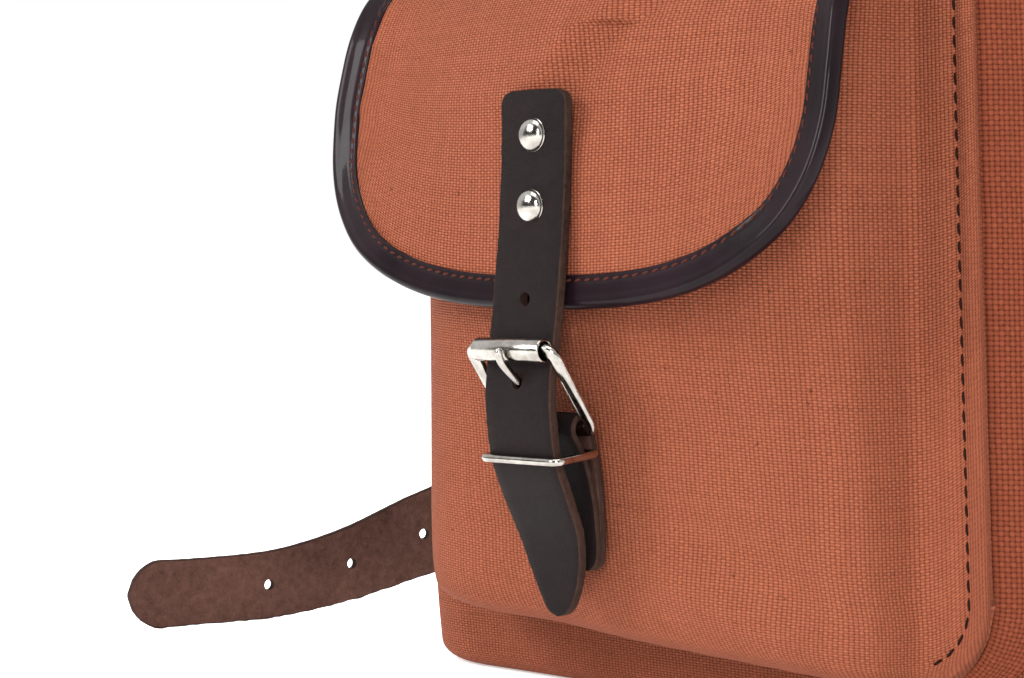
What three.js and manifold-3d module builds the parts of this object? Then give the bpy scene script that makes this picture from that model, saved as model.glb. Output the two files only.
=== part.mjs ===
// Canvas rucksack with a buckled front pocket, in millimetres, standing on its base, front towards -Y
import * as THREE from 'three';
import { mergeVertices } from 'three/addons/utils/BufferGeometryUtils.js';
import Module from 'manifold-3d';

const wasm = await Module();
wasm.setup();

// Cloth, leather and the air between pieces
const canvasWall = 2;
const leatherWall = 3;
const chapeWall = 1.8;
const seatGap = 0.3;

// Main bag
const bodyWidth = 270;
const bodyDepth = 124;
const bodyHeight = 385;
const bodyCornerRadius = 30;
const bodyFootRadius = 8;
const frontBulge = 5;
const backBulge = 2;
const sideHollow = 3;
const baseWall = 2.5;
const baseInset = 1;

// Front pocket
const pocketBottom = 21;
const pocketTop = 206;
const pocketHalfWidth = 105.3;
const pocketCornerRadius = 26;
const pocketSeamDepth = 15;
const pocketFaceDepth = 54;
const pocketTilt = 8;
const pocketFlare = 9;
const pocketLipWidth = 7;
const pocketFootWidth = 7;

// Pocket flap
const flapHalfWidth = 97;
const flapFullnessLeft = 2.7;
const flapFullnessRight = 3.5;
const flapTaper = 0.052;
const flapLean = 5;
const flapLeanFrom = 140;
const flapColumns = 13;
const flapDrop = 70;
const flapShoulder = 190;
const edgeStraight = 8;
const flapSeamHeight = 236;
const flapFaceDepth = 74;
const flapSeamRows = 3;

// Lid
const lidHalfWidth = 137;
const lidColumns = 13;
const lidFrontEdge = 318;
const lidDrop = 36;
const lidBackEdge = 352;
const lidTop = 408;
const lidStandOff = 15;
const lidSideDroop = 12;
const lidEndSweep = 4;
const lidSeamRows = 3;

// Edge binding
const bindingWidth = 9.5;
const bindingWall = 1.3;
const bindingGap = 0.85;
const bindingCrown = 0.3;

// Straps and buckles, with distances out from the cloth that they sit on
const strapWidth = 25;
const strapHoleDiameter = 4;
const strapHolePitch = 25;
const strapOnFlap = 72;
const strapTail = 75;
const closureTurn = 1;
const lidStrapSpread = 62;
const buckleDrop = 13;
const pocketSeat = 15;
const rollerOut = 27;
const barOut = 10.5;
const frameLength = 27.5;
const frameCorner = 2.8;
const frameClearance = 1;
const barWidth = 4;
const barThickness = 2.4;
const rollerDiameter = 6.6;
const tongueDiameter = 2.6;
const keeperWire = 2.3;
const keeperCorner = 2.2;
const wireSides = 6;
const keeperShare = -1.11;
const keeperOnChape = 0.17;
const chapeLength = 40;
const chapeNarrower = 1.5;
const rivetDiameter = 9.5;
const rivetHeight = 3;
const rivetShank = 3;
const rivetSpacing = 19.8;
const rivetFromEnd = 12.5;

// Carrying straps and handle
const shoulderWidth = 34;
const anchorSpread = 30;
const anchorHeight = 335;
const armBow = 44;
const lowerRollerOut = 18;
const lowerBarOut = 6;
const lowerBuckleInset = 83;
const lowerBuckleZ = 100;
const lowerBuckleAngle = 55;
const tailReach = 248;
const tailBackY = 73;
const tailTipY = -91;
const tailFirstHole = 55;
const tailHolePitch = 34.5;
const handleWidth = 22;
const handleWall = 4;
const handleHalfSpan = 46;
const handleTop = 440;
const handleFoot = 350;

// Main bag by height: shares of its height, width, depth and front bulge
const bodyRows = [
  { up: 0.00, wide: 0.985, deep: 1.00, bulge: 0.3 },
  { up: 0.08, wide: 1.000, deep: 1.02, bulge: 0.7 },
  { up: 0.30, wide: 1.000, deep: 1.00, bulge: 1.0 },
  { up: 0.60, wide: 0.985, deep: 0.97, bulge: 1.0 },
  { up: 0.85, wide: 0.965, deep: 0.93, bulge: 0.7 },
  { up: 1.00, wide: 0.950, deep: 0.86, bulge: 0.2 },
];

// Heights of the bag's rows, as shares of the foot radius and of the whole height
const bodyFootSteps = [0, 0.08, 0.3, 0.6, 1];
const bodySteps = [0.2, 0.4, 0.6, 0.8, 0.93, 1];

// Pocket panel in plan: shares of its half width and of its face depth in front of the seam
const pocketPlan = [
  { across: -1.000, out: 0.000 },
  { across: -0.893, out: 0.039 },
  { across: -0.830, out: 0.150 },
  { across: -0.800, out: 0.300 },
  { across: -0.760, out: 0.475 },
  { across: -0.700, out: 0.590 },
  { across: -0.620, out: 0.700 },
  { across: -0.530, out: 0.780 },
  { across: -0.413, out: 0.870 },
  { across: -0.275, out: 0.940 },
  { across: 0.000, out: 1.000 },
  { across: 0.138, out: 0.950 },
  { across: 0.275, out: 0.870 },
  { across: 0.413, out: 0.785 },
  { across: 0.550, out: 0.685 },
  { across: 0.665, out: 0.580 },
  { across: 0.722, out: 0.485 },
  { across: 0.760, out: 0.355 },
  { across: 0.783, out: 0.210 },
  { across: 0.802, out: 0.100 },
  { across: 0.836, out: 0.043 },
  { across: 0.893, out: 0.039 },
  { across: 1.000, out: 0.000 },
];

// Pocket panel by height: shares of the pocket height and of the face depth
const pocketProfile = [
  { up: 0.000, out: 0.00 },
  { up: 0.010, out: 0.28 },
  { up: 0.040, out: 0.50 },
  { up: 0.090, out: 0.64 },
  { up: 0.170, out: 0.72 },
  { up: 0.290, out: 0.77 },
  { up: 0.420, out: 0.86 },
  { up: 0.560, out: 0.95 },
  { up: 0.730, out: 1.00 },
  { up: 0.880, out: 0.95 },
  { up: 1.000, out: 0.82 },
];

// Flap in plan: shares of its half width, and how far the face lies back as a share of its depth
const flapPlan = [
  { across: -1.00, back: 0.170 },
  { across: -0.90, back: 0.155 },
  { across: -0.80, back: 0.130 },
  { across: -0.60, back: 0.080 },
  { across: -0.35, back: 0.030 },
  { across: 0.00, back: 0.000 },
  { across: 0.35, back: 0.030 },
  { across: 0.60, back: 0.080 },
  { across: 0.80, back: 0.130 },
  { across: 0.90, back: 0.155 },
  { across: 1.00, back: 0.170 },
];

// Flap from its lowest place up to the shoulder: share of the plan's curve, and the face's fall back
const flapFallRows = [
  { up: 0.00, curve: 0.06, fall: 0.000 },
  { up: 0.19, curve: 0.12, fall: 0.000 },
  { up: 0.27, curve: 0.24, fall: 0.000 },
  { up: 0.35, curve: 0.36, fall: 0.000 },
  { up: 0.51, curve: 0.62, fall: 0.000 },
  { up: 0.72, curve: 0.94, fall: 0.000 },
  { up: 0.87, curve: 1.00, fall: 0.030 },
  { up: 1.00, curve: 1.00, fall: 0.065 },
];

// Flap from its seam over the pocket mouth: shares of its depth and of the height over the shoulder
const flapTopRows = [
  { out: 0.00, up: 1.000 },
  { out: 0.00, up: 0.860 },
  { out: 0.13, up: 0.820 },
  { out: 0.37, up: 0.755 },
  { out: 0.60, up: 0.665 },
  { out: 0.77, up: 0.565 },
  { out: 0.87, up: 0.460 },
  { out: 0.95, up: 0.300 },
];

// Flap front from its shoulder down to its low edge
const flapFrontSteps = [0, 0.2, 0.4, 0.6, 0.8, 1];

// Lid from its back seam over the mouth: shares of the bag depth, of the lid height and of its width
const lidRows = [
  { along: 0.500, up: 0.00, droop: 0.0, wide: 0.78 },
  { along: 0.505, up: 0.35, droop: 0.3, wide: 0.84 },
  { along: 0.490, up: 0.66, droop: 0.8, wide: 0.93 },
  { along: 0.420, up: 0.86, droop: 1.0, wide: 0.98 },
  { along: 0.270, up: 0.96, droop: 1.0, wide: 1.00 },
  { along: 0.000, up: 1.00, droop: 1.0, wide: 1.00 },
  { along: -0.280, up: 0.96, droop: 1.0, wide: 1.00 },
  { along: -0.500, up: 0.86, droop: 1.0, wide: 1.00 },
  { along: -0.585, up: 0.70, droop: 0.8, wide: 1.00 },
  { along: -0.640, up: 0.45, droop: 0.4, wide: 1.00 },
];

// Strap through its buckle: shares of the frame length up, and of the strap's distance out at the roller
const buckledLine = [
  { up: 0.88, out: 0.865 },
  { up: 0.36, out: 0.875 },
  { up: 0.18, out: 0.960 },
  { up: 0.00, out: 1.00 },
  { up: -0.38, out: 1.06 },
  { up: -0.73, out: 1.04 },
  { up: -1.11, out: 0.95 },
  { up: -1.53, out: 0.71 },
  { up: -1.89, out: 0.49 },
  { up: -2.25, out: 0.365 },
];

// Tip of the strap: shares of its tail length, of its distance out at the roller and of its width
const strapTip = [
  { up: 0.93, out: 0.320, wide: 1.00 },
  { up: 0.98, out: 0.315, wide: 0.82 },
  { up: 1.00, out: 0.310, wide: 0.48 },
];

// Shoulder strap over its lower buckle, the same way
const lowerLine = [
  { up: 0.40, out: 1.03 },
  { up: 0.00, out: 1.00 },
  { up: -0.50, out: 1.02 },
  { up: -1.00, out: 1.02 },
  { up: -1.40, out: 0.94 },
  { up: -2.00, out: 0.76 },
];

// Leather loop that holds the bar: shares of its length, rise to the bar, wrap radius and width
const chapeLine = [
  { along: 0.00, rise: 1.00, half: 1.00, wide: 1.00 },
  { along: 0.12, rise: 0.72, half: 0.78, wide: 1.00 },
  { along: 0.36, rise: 0.32, half: 0.55, wide: 1.00 },
  { along: 0.58, rise: 0.13, half: 0.40, wide: 1.00 },
  { along: 0.82, rise: 0.03, half: 0.31, wide: 1.00 },
  { along: 0.95, rise: 0.00, half: 0.30, wide: 0.90 },
  { along: 1.00, rise: 0.00, half: 0.30, wide: 0.72 },
];

// Shoulder strap from its anchor to the lower buckle: shares of the drop, the bow and the way across
const armRows = [
  { down: 0.00, bow: 0.00, across: 0.00 },
  { down: 0.10, bow: 0.00, across: -0.05 },
  { down: 0.22, bow: 0.22, across: -0.15 },
  { down: 0.40, bow: 0.72, across: -0.30 },
  { down: 0.58, bow: 1.00, across: -0.40 },
  { down: 0.76, bow: 0.92, across: -0.20 },
  { down: 0.88, bow: 0.50, across: 0.18 },
];

// Free end of a shoulder strap: shares of its reach, its forward run, and its middle over the floor
const tailRows = [
  { reach: 0.50, run: 1.00, up: 1.55, wide: 1.00 },
  { reach: 0.60, run: 1.00, up: 1.33, wide: 1.00 },
  { reach: 0.74, run: 0.955, up: 1.20, wide: 1.00 },
  { reach: 0.845, run: 0.85, up: 1.04, wide: 0.97 },
  { reach: 0.890, run: 0.72, up: 0.83, wide: 0.92 },
  { reach: 0.915, run: 0.52, up: 0.55, wide: 0.80 },
  { reach: 0.940, run: 0.34, up: 0.40, wide: 0.73 },
  { reach: 0.975, run: 0.14, up: 0.367, wide: 0.71 },
  { reach: 0.990, run: 0.06, up: 0.365, wide: 0.71 },
  { reach: 0.997, run: 0.015, up: 0.365, wide: 0.58 },
  { reach: 1.000, run: 0.00, up: 0.365, wide: 0.34 },
];

// Grab handle from the middle of its loop to its foot: shares of its half span, height and width
const handleRows = [
  { across: 0.00, up: 1.00, wide: 0.62 },
  { across: 0.40, up: 0.95, wide: 0.62 },
  { across: 0.74, up: 0.79, wide: 0.66 },
  { across: 0.94, up: 0.56, wide: 0.80 },
  { across: 1.00, up: 0.32, wide: 1.00 },
  { across: 1.00, up: 0.04, wide: 1.00 },
  { across: 1.00, up: 0.00, wide: 0.72 },
];

const canvas = new THREE.MeshStandardMaterial({ color: '#ad6a4e', roughness: 0.9, metalness: 0 });
const canvasShade = new THREE.MeshStandardMaterial({ color: '#8a4730', roughness: 0.9, metalness: 0 });
const darkLeather = new THREE.MeshStandardMaterial({ color: '#342c2d', roughness: 0.55, metalness: 0 });
const bindingLeather = new THREE.MeshStandardMaterial({ color: '#33242a', roughness: 0.3, metalness: 0 });
const nickel = new THREE.MeshStandardMaterial({ color: '#b9b7b4', roughness: 0.3, metalness: 1 });

const bag = new THREE.Group();

function addPiece(name, geometry, material, parent = bag) {
  const piece = new THREE.Mesh(geometry, material);
  piece.name = name;
  parent.add(piece);
  return piece;
}

// Straight-line reading of a table: the value of one column where another column has a given value
function readTable(table, key, at, column) {
  const rising = table[table.length - 1][key] > table[0][key];
  const rows = rising ? table : [...table].reverse();
  if (at <= rows[0][key]) return rows[0][column];
  for (let k = 1; k < rows.length; k += 1) {
    if (at <= rows[k][key]) {
      const share = (at - rows[k - 1][key]) / (rows[k][key] - rows[k - 1][key]);
      return rows[k - 1][column] + share * (rows[k][column] - rows[k - 1][column]);
    }
  }
  return rows[rows.length - 1][column];
}

function buildGeometry(points, faces) {
  const geometry = new THREE.BufferGeometry();
  const coordinates = points.flatMap((p) => p.toArray());
  const inward = signedVolume(points, faces) < 0;
  geometry.setAttribute('position', new THREE.Float32BufferAttribute(coordinates, 3));
  geometry.setIndex(inward ? faces.flatMap(([a, b, c]) => [a, c, b]) : faces.flat());
  geometry.computeVertexNormals();
  return geometry;
}

function signedVolume(points, faces) {
  const cross = new THREE.Vector3();
  return faces.reduce((sum, [a, b, c]) => sum + points[a].dot(cross.crossVectors(points[b], points[c])), 0);
}

function gridNormal(rows, i, j) {
  const n = rows.length - 1;
  const m = rows[0].length - 1;
  const along = rows[i][Math.min(j + 1, m)].clone().sub(rows[i][Math.max(j - 1, 0)]);
  const up = rows[Math.min(i + 1, n)][j].clone().sub(rows[Math.max(i - 1, 0)][j]);
  return along.cross(up).normalize();
}

// Closed solid from a grid of points: columns times rows points outwards
function sheet(rows, outer, inner) {
  const width = rows[0].length;
  const count = rows.length * width;
  const points = [];
  for (const shift of [outer, -inner]) {
    rows.forEach((row, i) => row.forEach((p, j) => {
      points.push(p.clone().addScaledVector(gridNormal(rows, i, j), shift));
    }));
  }
  const faces = [];
  const at = (i, j) => i * width + j;
  for (let i = 0; i < rows.length - 1; i += 1) {
    for (let j = 0; j < width - 1; j += 1) {
      const [a, b, c, d] = [at(i, j), at(i, j + 1), at(i + 1, j + 1), at(i + 1, j)];
      faces.push([a, b, c], [a, c, d]);
      faces.push([a + count, c + count, b + count], [a + count, d + count, c + count]);
    }
  }
  const rim = [];
  for (let j = 0; j < width - 1; j += 1) rim.push(at(0, j));
  for (let i = 0; i < rows.length - 1; i += 1) rim.push(at(i, width - 1));
  for (let j = width - 1; j > 0; j -= 1) rim.push(at(rows.length - 1, j));
  for (let i = rows.length - 1; i > 0; i -= 1) rim.push(at(i, 0));
  rim.forEach((p, k) => {
    const q = rim[(k + 1) % rim.length];
    faces.push([q, p, p + count], [q, p + count, q + count]);
  });
  return buildGeometry(points, faces);
}

// Closed solid from a section carried along frames, each with a place and two directions
function sweep(frames, section, closed = false) {
  const size = section.length;
  const points = frames.flatMap(({ place, side, rise }) => section.map(([s, r]) => (
    place.clone().addScaledVector(side, s).addScaledVector(rise, r))));
  const faces = [];
  const last = closed ? frames.length : frames.length - 1;
  for (let i = 0; i < last; i += 1) {
    const next = (i + 1) % frames.length;
    for (let k = 0; k < size; k += 1) {
      const l = (k + 1) % size;
      faces.push([i * size + k, i * size + l, next * size + l]);
      faces.push([i * size + k, next * size + l, next * size + k]);
    }
  }
  if (!closed) {
    const flat = section.map(([s, r]) => new THREE.Vector2(s, r));
    const end = (frames.length - 1) * size;
    for (const [a, b, c] of THREE.ShapeUtils.triangulateShape(flat, [])) {
      faces.push([a, c, b], [end + a, end + b, end + c]);
    }
  }
  return buildGeometry(points, faces);
}

function roundSection(radius, sides) {
  return Array.from({ length: sides }, (_, k) => {
    const turn = (k + 0.5) / sides * 2 * Math.PI;
    return [radius * Math.cos(turn), radius * Math.sin(turn)];
  });
}

function toSolid(geometry) {
  const bare = geometry.clone();
  bare.deleteAttribute('normal');
  bare.deleteAttribute('uv');
  const merged = mergeVertices(bare);
  return new wasm.Manifold(new wasm.Mesh({
    numProp: 3,
    vertProperties: new Float32Array(merged.attributes.position.array),
    triVerts: new Uint32Array(merged.index.array),
  }));
}

function cut(geometry, tools) {
  const solid = tools.reduce((left, tool) => left.subtract(toSolid(tool)), toSolid(geometry));
  const mesh = solid.getMesh();
  const result = new THREE.BufferGeometry();
  result.setAttribute('position', new THREE.BufferAttribute(new Float32Array(mesh.vertProperties), 3));
  result.setIndex(Array.from(mesh.triVerts));
  result.computeVertexNormals();
  return result;
}

// A round or oval punch along a direction, made longer than the leather is thick
function punch(place, direction, diameter, stretch = 1) {
  const tool = new THREE.CylinderGeometry(diameter / 2, diameter / 2, 4 * leatherWall, 8);
  tool.scale(1, 1, stretch);
  const upright = new THREE.Vector3(0, 1, 0);
  tool.applyQuaternion(new THREE.Quaternion().setFromUnitVectors(upright, direction.clone().normalize()));
  tool.translate(place.x, place.y, place.z);
  return tool;
}

// Outline of the main bag

function bodySize(z) {
  const up = THREE.MathUtils.clamp(z / bodyHeight, 0, 1);
  const tuck = z < bodyFootRadius
    ? bodyFootRadius - Math.sqrt(bodyFootRadius ** 2 - (bodyFootRadius - Math.max(z, 0)) ** 2) : 0;
  return {
    halfWidth: bodyWidth / 2 * readTable(bodyRows, 'up', up, 'wide') - tuck,
    halfDepth: bodyDepth / 2 * readTable(bodyRows, 'up', up, 'deep') - tuck,
    bulge: readTable(bodyRows, 'up', up, 'bulge'),
  };
}

// Outer face of the bag towards the front or the back, at a place across and up
function bodyFaceDepth(x, z, bulgeSize) {
  const { halfWidth, halfDepth, bulge } = bodySize(z);
  const flat = halfWidth - bodyCornerRadius;
  const past = Math.min(Math.max(Math.abs(x) - flat, 0), bodyCornerRadius);
  const dome = bulgeSize * bulge * Math.cos(Math.min(Math.abs(x) / flat, 1) * Math.PI / 2) ** 2;
  return halfDepth + dome - bodyCornerRadius + Math.sqrt(bodyCornerRadius ** 2 - past ** 2);
}

const frontFace = (x, z) => -bodyFaceDepth(x, z, frontBulge);
const backFace = (x, z) => bodyFaceDepth(x, z, backBulge);

const bodyHeights = [
  ...bodyFootSteps.map((share) => share * bodyFootRadius),
  ...bodySteps.map((share) => share * bodyHeight),
];

function bodyPanel(face, mirror) {
  const seamTurn = Math.PI / 4;
  const rows = bodyHeights.map((z) => {
    const flat = bodySize(z).halfWidth - bodyCornerRadius;
    const arc = [1, 0.5].map((share) => (
      flat + bodyCornerRadius * Math.sin(seamTurn * share) - 2 * seatGap * share));
    const half = [...arc, flat, 0.72 * flat, 0.36 * flat];
    const across = [...half.map((x) => -x), 0, ...half.reverse()];
    return across.map((x) => new THREE.Vector3(mirror * x, face(x, z), z));
  });
  return sheet(rows, 0, canvasWall);
}

function bodySide(side) {
  const rows = bodyHeights.map((z) => {
    const { halfWidth, halfDepth } = bodySize(z);
    const flat = halfWidth - bodyCornerRadius;
    const straight = halfDepth - bodyCornerRadius;
    const hollow = sideHollow * Math.sin(Math.PI * Math.min(z / bodyHeight, 1));
    const arc = [0, 0.4, 0.75, 1].map((share) => (1 + share) * Math.PI / 4);
    const seam = seatGap / bodyCornerRadius;
    const corner = arc.map((turn, k) => [
      flat + bodyCornerRadius * Math.sin(turn + (k === 0 ? seam : 0)),
      -straight - bodyCornerRadius * Math.cos(turn + (k === 0 ? seam : 0)),
    ]);
    const middle = [[halfWidth - hollow, -0.35 * straight], [halfWidth - hollow, 0.35 * straight]];
    const back = [...corner].reverse().map(([x, y]) => [x, -y]);
    return [...corner, ...middle, ...back].map(([x, y]) => new THREE.Vector3(side * x, side * y, z));
  });
  return sheet(rows, 0, canvasWall);
}

function bodyBase() {
  const { halfWidth, halfDepth } = bodySize(0);
  const radius = bodyCornerRadius - baseInset;
  const [w, d] = [halfWidth - baseInset, halfDepth - baseInset];
  const shape = new THREE.Shape();
  shape.moveTo(-w + radius, -d);
  shape.lineTo(w - radius, -d);
  shape.absarc(w - radius, -d + radius, radius, -Math.PI / 2, 0);
  shape.absarc(w - radius, d - radius, radius, 0, Math.PI / 2);
  shape.absarc(-w + radius, d - radius, radius, Math.PI / 2, Math.PI);
  shape.absarc(-w + radius, -d + radius, radius, Math.PI, 1.5 * Math.PI);
  return new THREE.ExtrudeGeometry(shape, { depth: baseWall, bevelEnabled: false, curveSegments: 5 });
}

// Front pocket

const pocketSeamY = frontFace(0, pocketTop / 2) - pocketSeamDepth + frontBulge;

// Lower edge of the pocket's U-shaped outline at a place across
function pocketEdge(x) {
  const past = Math.max(Math.abs(x) - pocketHalfWidth + pocketCornerRadius, 0);
  return pocketBottom + pocketCornerRadius - Math.sqrt(pocketCornerRadius ** 2 - past ** 2);
}

// The full pocket hangs lower on its right-hand side, and its mouth stays level
function hungPocket(x, z) {
  const down = (pocketTop - z) / (pocketTop - pocketBottom);
  return z - pocketTilt * down * x / pocketHalfWidth;
}

function pocketPanel() {
  const rows = pocketProfile.map((level) => pocketPlan.map((station) => {
    const x = station.across * pocketHalfWidth;
    const low = pocketEdge(x);
    const z = low + level.up * (pocketTop - low);
    const y = pocketSeamY - pocketFaceDepth * station.out * level.out;
    return new THREE.Vector3(x, y, hungPocket(x, z));
  }));
  return sheet(rows, 0, canvasWall);
}

// Stations down one side of the pocket, round its bottom and up the other side
function pocketOutline() {
  const side = pocketHalfWidth - pocketCornerRadius;
  const centre = pocketBottom + pocketCornerRadius;
  const quarter = [0, 0.25, 0.5, 0.75, 1].map((share) => share * Math.PI / 2);
  const heights = [1, 0.66, 0.4].map((share) => share * pocketTop);
  const left = heights.map((z) => ({ x: -pocketHalfWidth, z, turn: 0 }));
  const corner = quarter.map((turn) => ({
    x: -side - pocketCornerRadius * Math.cos(turn),
    z: centre - pocketCornerRadius * Math.sin(turn),
    turn,
  }));
  const half = [...left, ...corner, { x: -side / 2, z: pocketBottom, turn: Math.PI / 2 }];
  const middle = { x: 0, z: pocketBottom, turn: Math.PI / 2 };
  const mirrored = half.map(({ x, z, turn }) => ({ x: -x, z, turn: Math.PI - turn })).reverse();
  return [...half, middle, ...mirrored];
}

// Lip against the panel's edge, flare back to the bag, and a foot turned in flat against it
function pocketGusset() {
  const lipY = pocketSeamY + canvasWall + seatGap + canvasWall / 2;
  const rows = pocketOutline().map(({ x, z, turn }) => {
    const outward = new THREE.Vector3(-Math.cos(turn), 0, -Math.sin(turn));
    const flare = pocketFlare * (1 - 0.75 * Math.sin(turn));
    const stations = [-pocketLipWidth, -1, 0.16 * flare, 0.6 * flare, flare];
    const place = (out) => {
      const p = new THREE.Vector3(x, 0, z).addScaledVector(outward, out);
      return p.setZ(hungPocket(p.x, p.z));
    };
    const section = stations.map(place);
    const seat = (p) => frontFace(p.x, p.z) - seatGap - canvasWall / 2;
    const depth = seat(section[4]) - lipY;
    [0, 0, 0.12, 0.5, 0.88].forEach((share, k) => { section[k].y = lipY + share * depth; });
    const heel = place(flare - canvasWall);
    const foot = place(flare - pocketFootWidth);
    heel.y = seat(heel);
    foot.y = seat(foot);
    return [...section, heel, foot];
  });
  return sheet(rows, canvasWall / 2, canvasWall / 2);
}

// Flap over the pocket

function flapLowEdge(x) {
  const share = Math.min(Math.abs(x) / flapHalfWidth, 1);
  const fullness = x < 0 ? flapFullnessLeft : flapFullnessRight;
  return flapShoulder - flapDrop * (1 - share ** fullness) ** (1 / fullness);
}

// The flap narrows and leans a little to the left towards its seam
function flapAcross(x, z) {
  const up = THREE.MathUtils.clamp((z - flapLeanFrom) / (flapSeamHeight - flapLeanFrom), 0, 1);
  return x * (1 - flapTaper * up) - flapLean * up;
}

const flapFrontY = frontFace(0, flapSeamHeight) + frontBulge - flapFaceDepth;

function flapFace(x, z) {
  const up = (z - flapShoulder + flapDrop) / (flapDrop + edgeStraight);
  const curve = readTable(flapFallRows, 'up', up, 'curve');
  const fall = readTable(flapFallRows, 'up', up, 'fall');
  const back = curve * readTable(flapPlan, 'across', x / flapHalfWidth, 'back');
  return flapFrontY + flapFaceDepth * (back + fall);
}

function flapGrid() {
  const turns = Array.from({ length: flapColumns }, (_, k) => (k / (flapColumns - 1) - 0.5) * Math.PI);
  const columns = turns.map((turn) => flapHalfWidth * Math.sin(turn));
  const start = flapShoulder + edgeStraight;
  const top = flapTopRows.map(({ out, up }) => columns.map((x) => {
    const z = flapShoulder + up * (flapSeamHeight - flapShoulder);
    const across = flapAcross(x, z);
    const base = frontFace(across, flapSeamHeight) - seatGap - canvasWall;
    return new THREE.Vector3(across, base + (flapFace(x, start) - base) * out, z);
  }));
  const front = flapFrontSteps.map((share) => columns.map((x) => {
    const z = start + share * (flapLowEdge(x) - start);
    return new THREE.Vector3(flapAcross(x, z), flapFace(x, z), z);
  }));
  return [...top, ...front].reverse();
}

// Rolled leather edge, held on a cloth edge: its C-shaped section runs round the border of a grid
function edgeBinding(grid, seamRows) {
  const n = grid.length - 1;
  const m = grid[0].length - 1;
  const border = [];
  const half = canvasWall / 2 + bindingGap;
  for (let i = n - seamRows; i > 0; i -= 1) border.push([i, 0]);
  for (let j = 0; j <= m; j += 1) border.push([0, j]);
  for (let i = 1; i <= n - seamRows; i += 1) border.push([i, m]);
  const middle = border.map(([i, j]) => (
    grid[i][j].clone().addScaledVector(gridNormal(grid, i, j), -canvasWall / 2)));
  const frames = border.map(([i, j], k) => {
    const before = middle[Math.max(k - 1, 0)];
    const after = middle[Math.min(k + 1, middle.length - 1)];
    const rise = gridNormal(grid, i, j);
    const travel = after.clone().sub(before).normalize();
    const side = rise.clone().cross(travel).normalize();
    return { place: middle[k], side, rise: travel.clone().cross(side).normalize() };
  });
  const lip = bindingWidth - bindingWall - bindingGap;
  const full = half + bindingWall;
  const roll = bindingGap + bindingWall;
  const section = [
    [lip, -full], [lip, -half], [-bindingGap, -half], [-bindingGap, half], [lip, half], [lip, full],
    [0, full + bindingCrown], [-roll, 0.55 * full], [-roll, -0.55 * full], [0, -full],
  ];
  return sweep(frames, section);
}

// Lid over the mouth

const lidFrontY = frontFace(0, lidFrontEdge) - lidStandOff;

function lidLowEdge(x) {
  return lidFrontEdge + lidDrop * (1 - Math.sqrt(Math.max(1 - (x / lidHalfWidth) ** 2, 0)));
}

const lidFace = (x) => lidFrontY + lidEndSweep * (x / lidHalfWidth) ** 2;

function lidBackY(x, along) {
  const flat = bodyWidth / 2 - bodyCornerRadius;
  const lean = Math.min(along - lidRows[0].along, 0) * bodyDepth;
  return backFace(Math.min(Math.abs(x), flat), lidBackEdge) + canvasWall + seatGap + lean;
}

function lidGrid() {
  const turns = Array.from({ length: lidColumns }, (_, k) => (k / (lidColumns - 1) - 0.5) * Math.PI);
  const shares = turns.map(Math.sin);
  const over = lidRows.map(({ along, up, droop, wide }, k) => shares.map((share) => {
    const x = share * lidHalfWidth * wide;
    const z = lidBackEdge + up * (lidTop - lidBackEdge) - droop * lidSideDroop * Math.abs(share) ** 3;
    return new THREE.Vector3(x, k < 3 ? lidBackY(x, along) : Math.max(along * bodyDepth, lidFace(x)), z);
  }));
  const start = lidFrontEdge + lidDrop + edgeStraight;
  const front = [0, 0.35, 0.7, 1].map((down) => shares.map((share) => {
    const x = share * lidHalfWidth;
    return new THREE.Vector3(x, lidFace(x), start + down * (lidLowEdge(x) - start));
  }));
  return [...over, ...front].reverse();
}

// Straps, rivets and buckles, in a frame of their own: x across, -y out of the cloth, z up from the roller

const local = (x, out, up) => new THREE.Vector3(x, -out, up);
const across = new THREE.Vector3(1, 0, 0);
const tongueRing = Math.hypot(barWidth, barThickness) / 2 + seatGap + tongueDiameter / 2;
const wrapRadius = Math.hypot(barWidth, barThickness) / 2 + seatGap + chapeWall / 2;

// Places of a buckle's roller and bar for a strap of a given width
function buckleLayout(width, roller, bar) {
  const barUp = -Math.sqrt(frameLength ** 2 - (roller - bar) ** 2);
  const passOut = roller - rollerDiameter / 2 - seatGap - leatherWall / 2;
  return { width, roller, bar, barUp, passOut };
}

// Frames round a rectangle with rounded corners that stands between two places out from the cloth
function loopFrames(halfWide, from, to, corner) {
  const along = local(0, ...to).sub(local(0, ...from));
  const halfLong = along.length() / 2;
  const centre = local(0, ...from).addScaledVector(along, 0.5);
  along.normalize();
  const rise = across.clone().cross(along);
  const corners = [[1, 1], [-1, 1], [-1, -1], [1, -1]];
  return corners.flatMap(([sx, sy], k) => [0.08, 0.92].map((share) => {
    const turn = (k + share) * Math.PI / 2;
    const side = across.clone().multiplyScalar(Math.cos(turn)).addScaledVector(along, Math.sin(turn));
    const place = centre.clone().addScaledVector(across, sx * (halfWide - corner));
    place.addScaledVector(along, sy * (halfLong - corner)).addScaledVector(side, corner);
    return { place, side, rise };
  }));
}

function buckleFrame({ width, roller, bar, barUp }) {
  const halfWide = width / 2 + frameClearance + barWidth / 2;
  const frames = loopFrames(halfWide, [bar, barUp], [roller, 0], frameCorner);
  const [w, t] = [barWidth / 2, barThickness / 2];
  return sweep(frames, [[-w, -t], [w, -t], [w, 0.4 * t], [0.5 * w, t], [-0.5 * w, t], [-w, 0.4 * t]], true);
}

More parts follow.
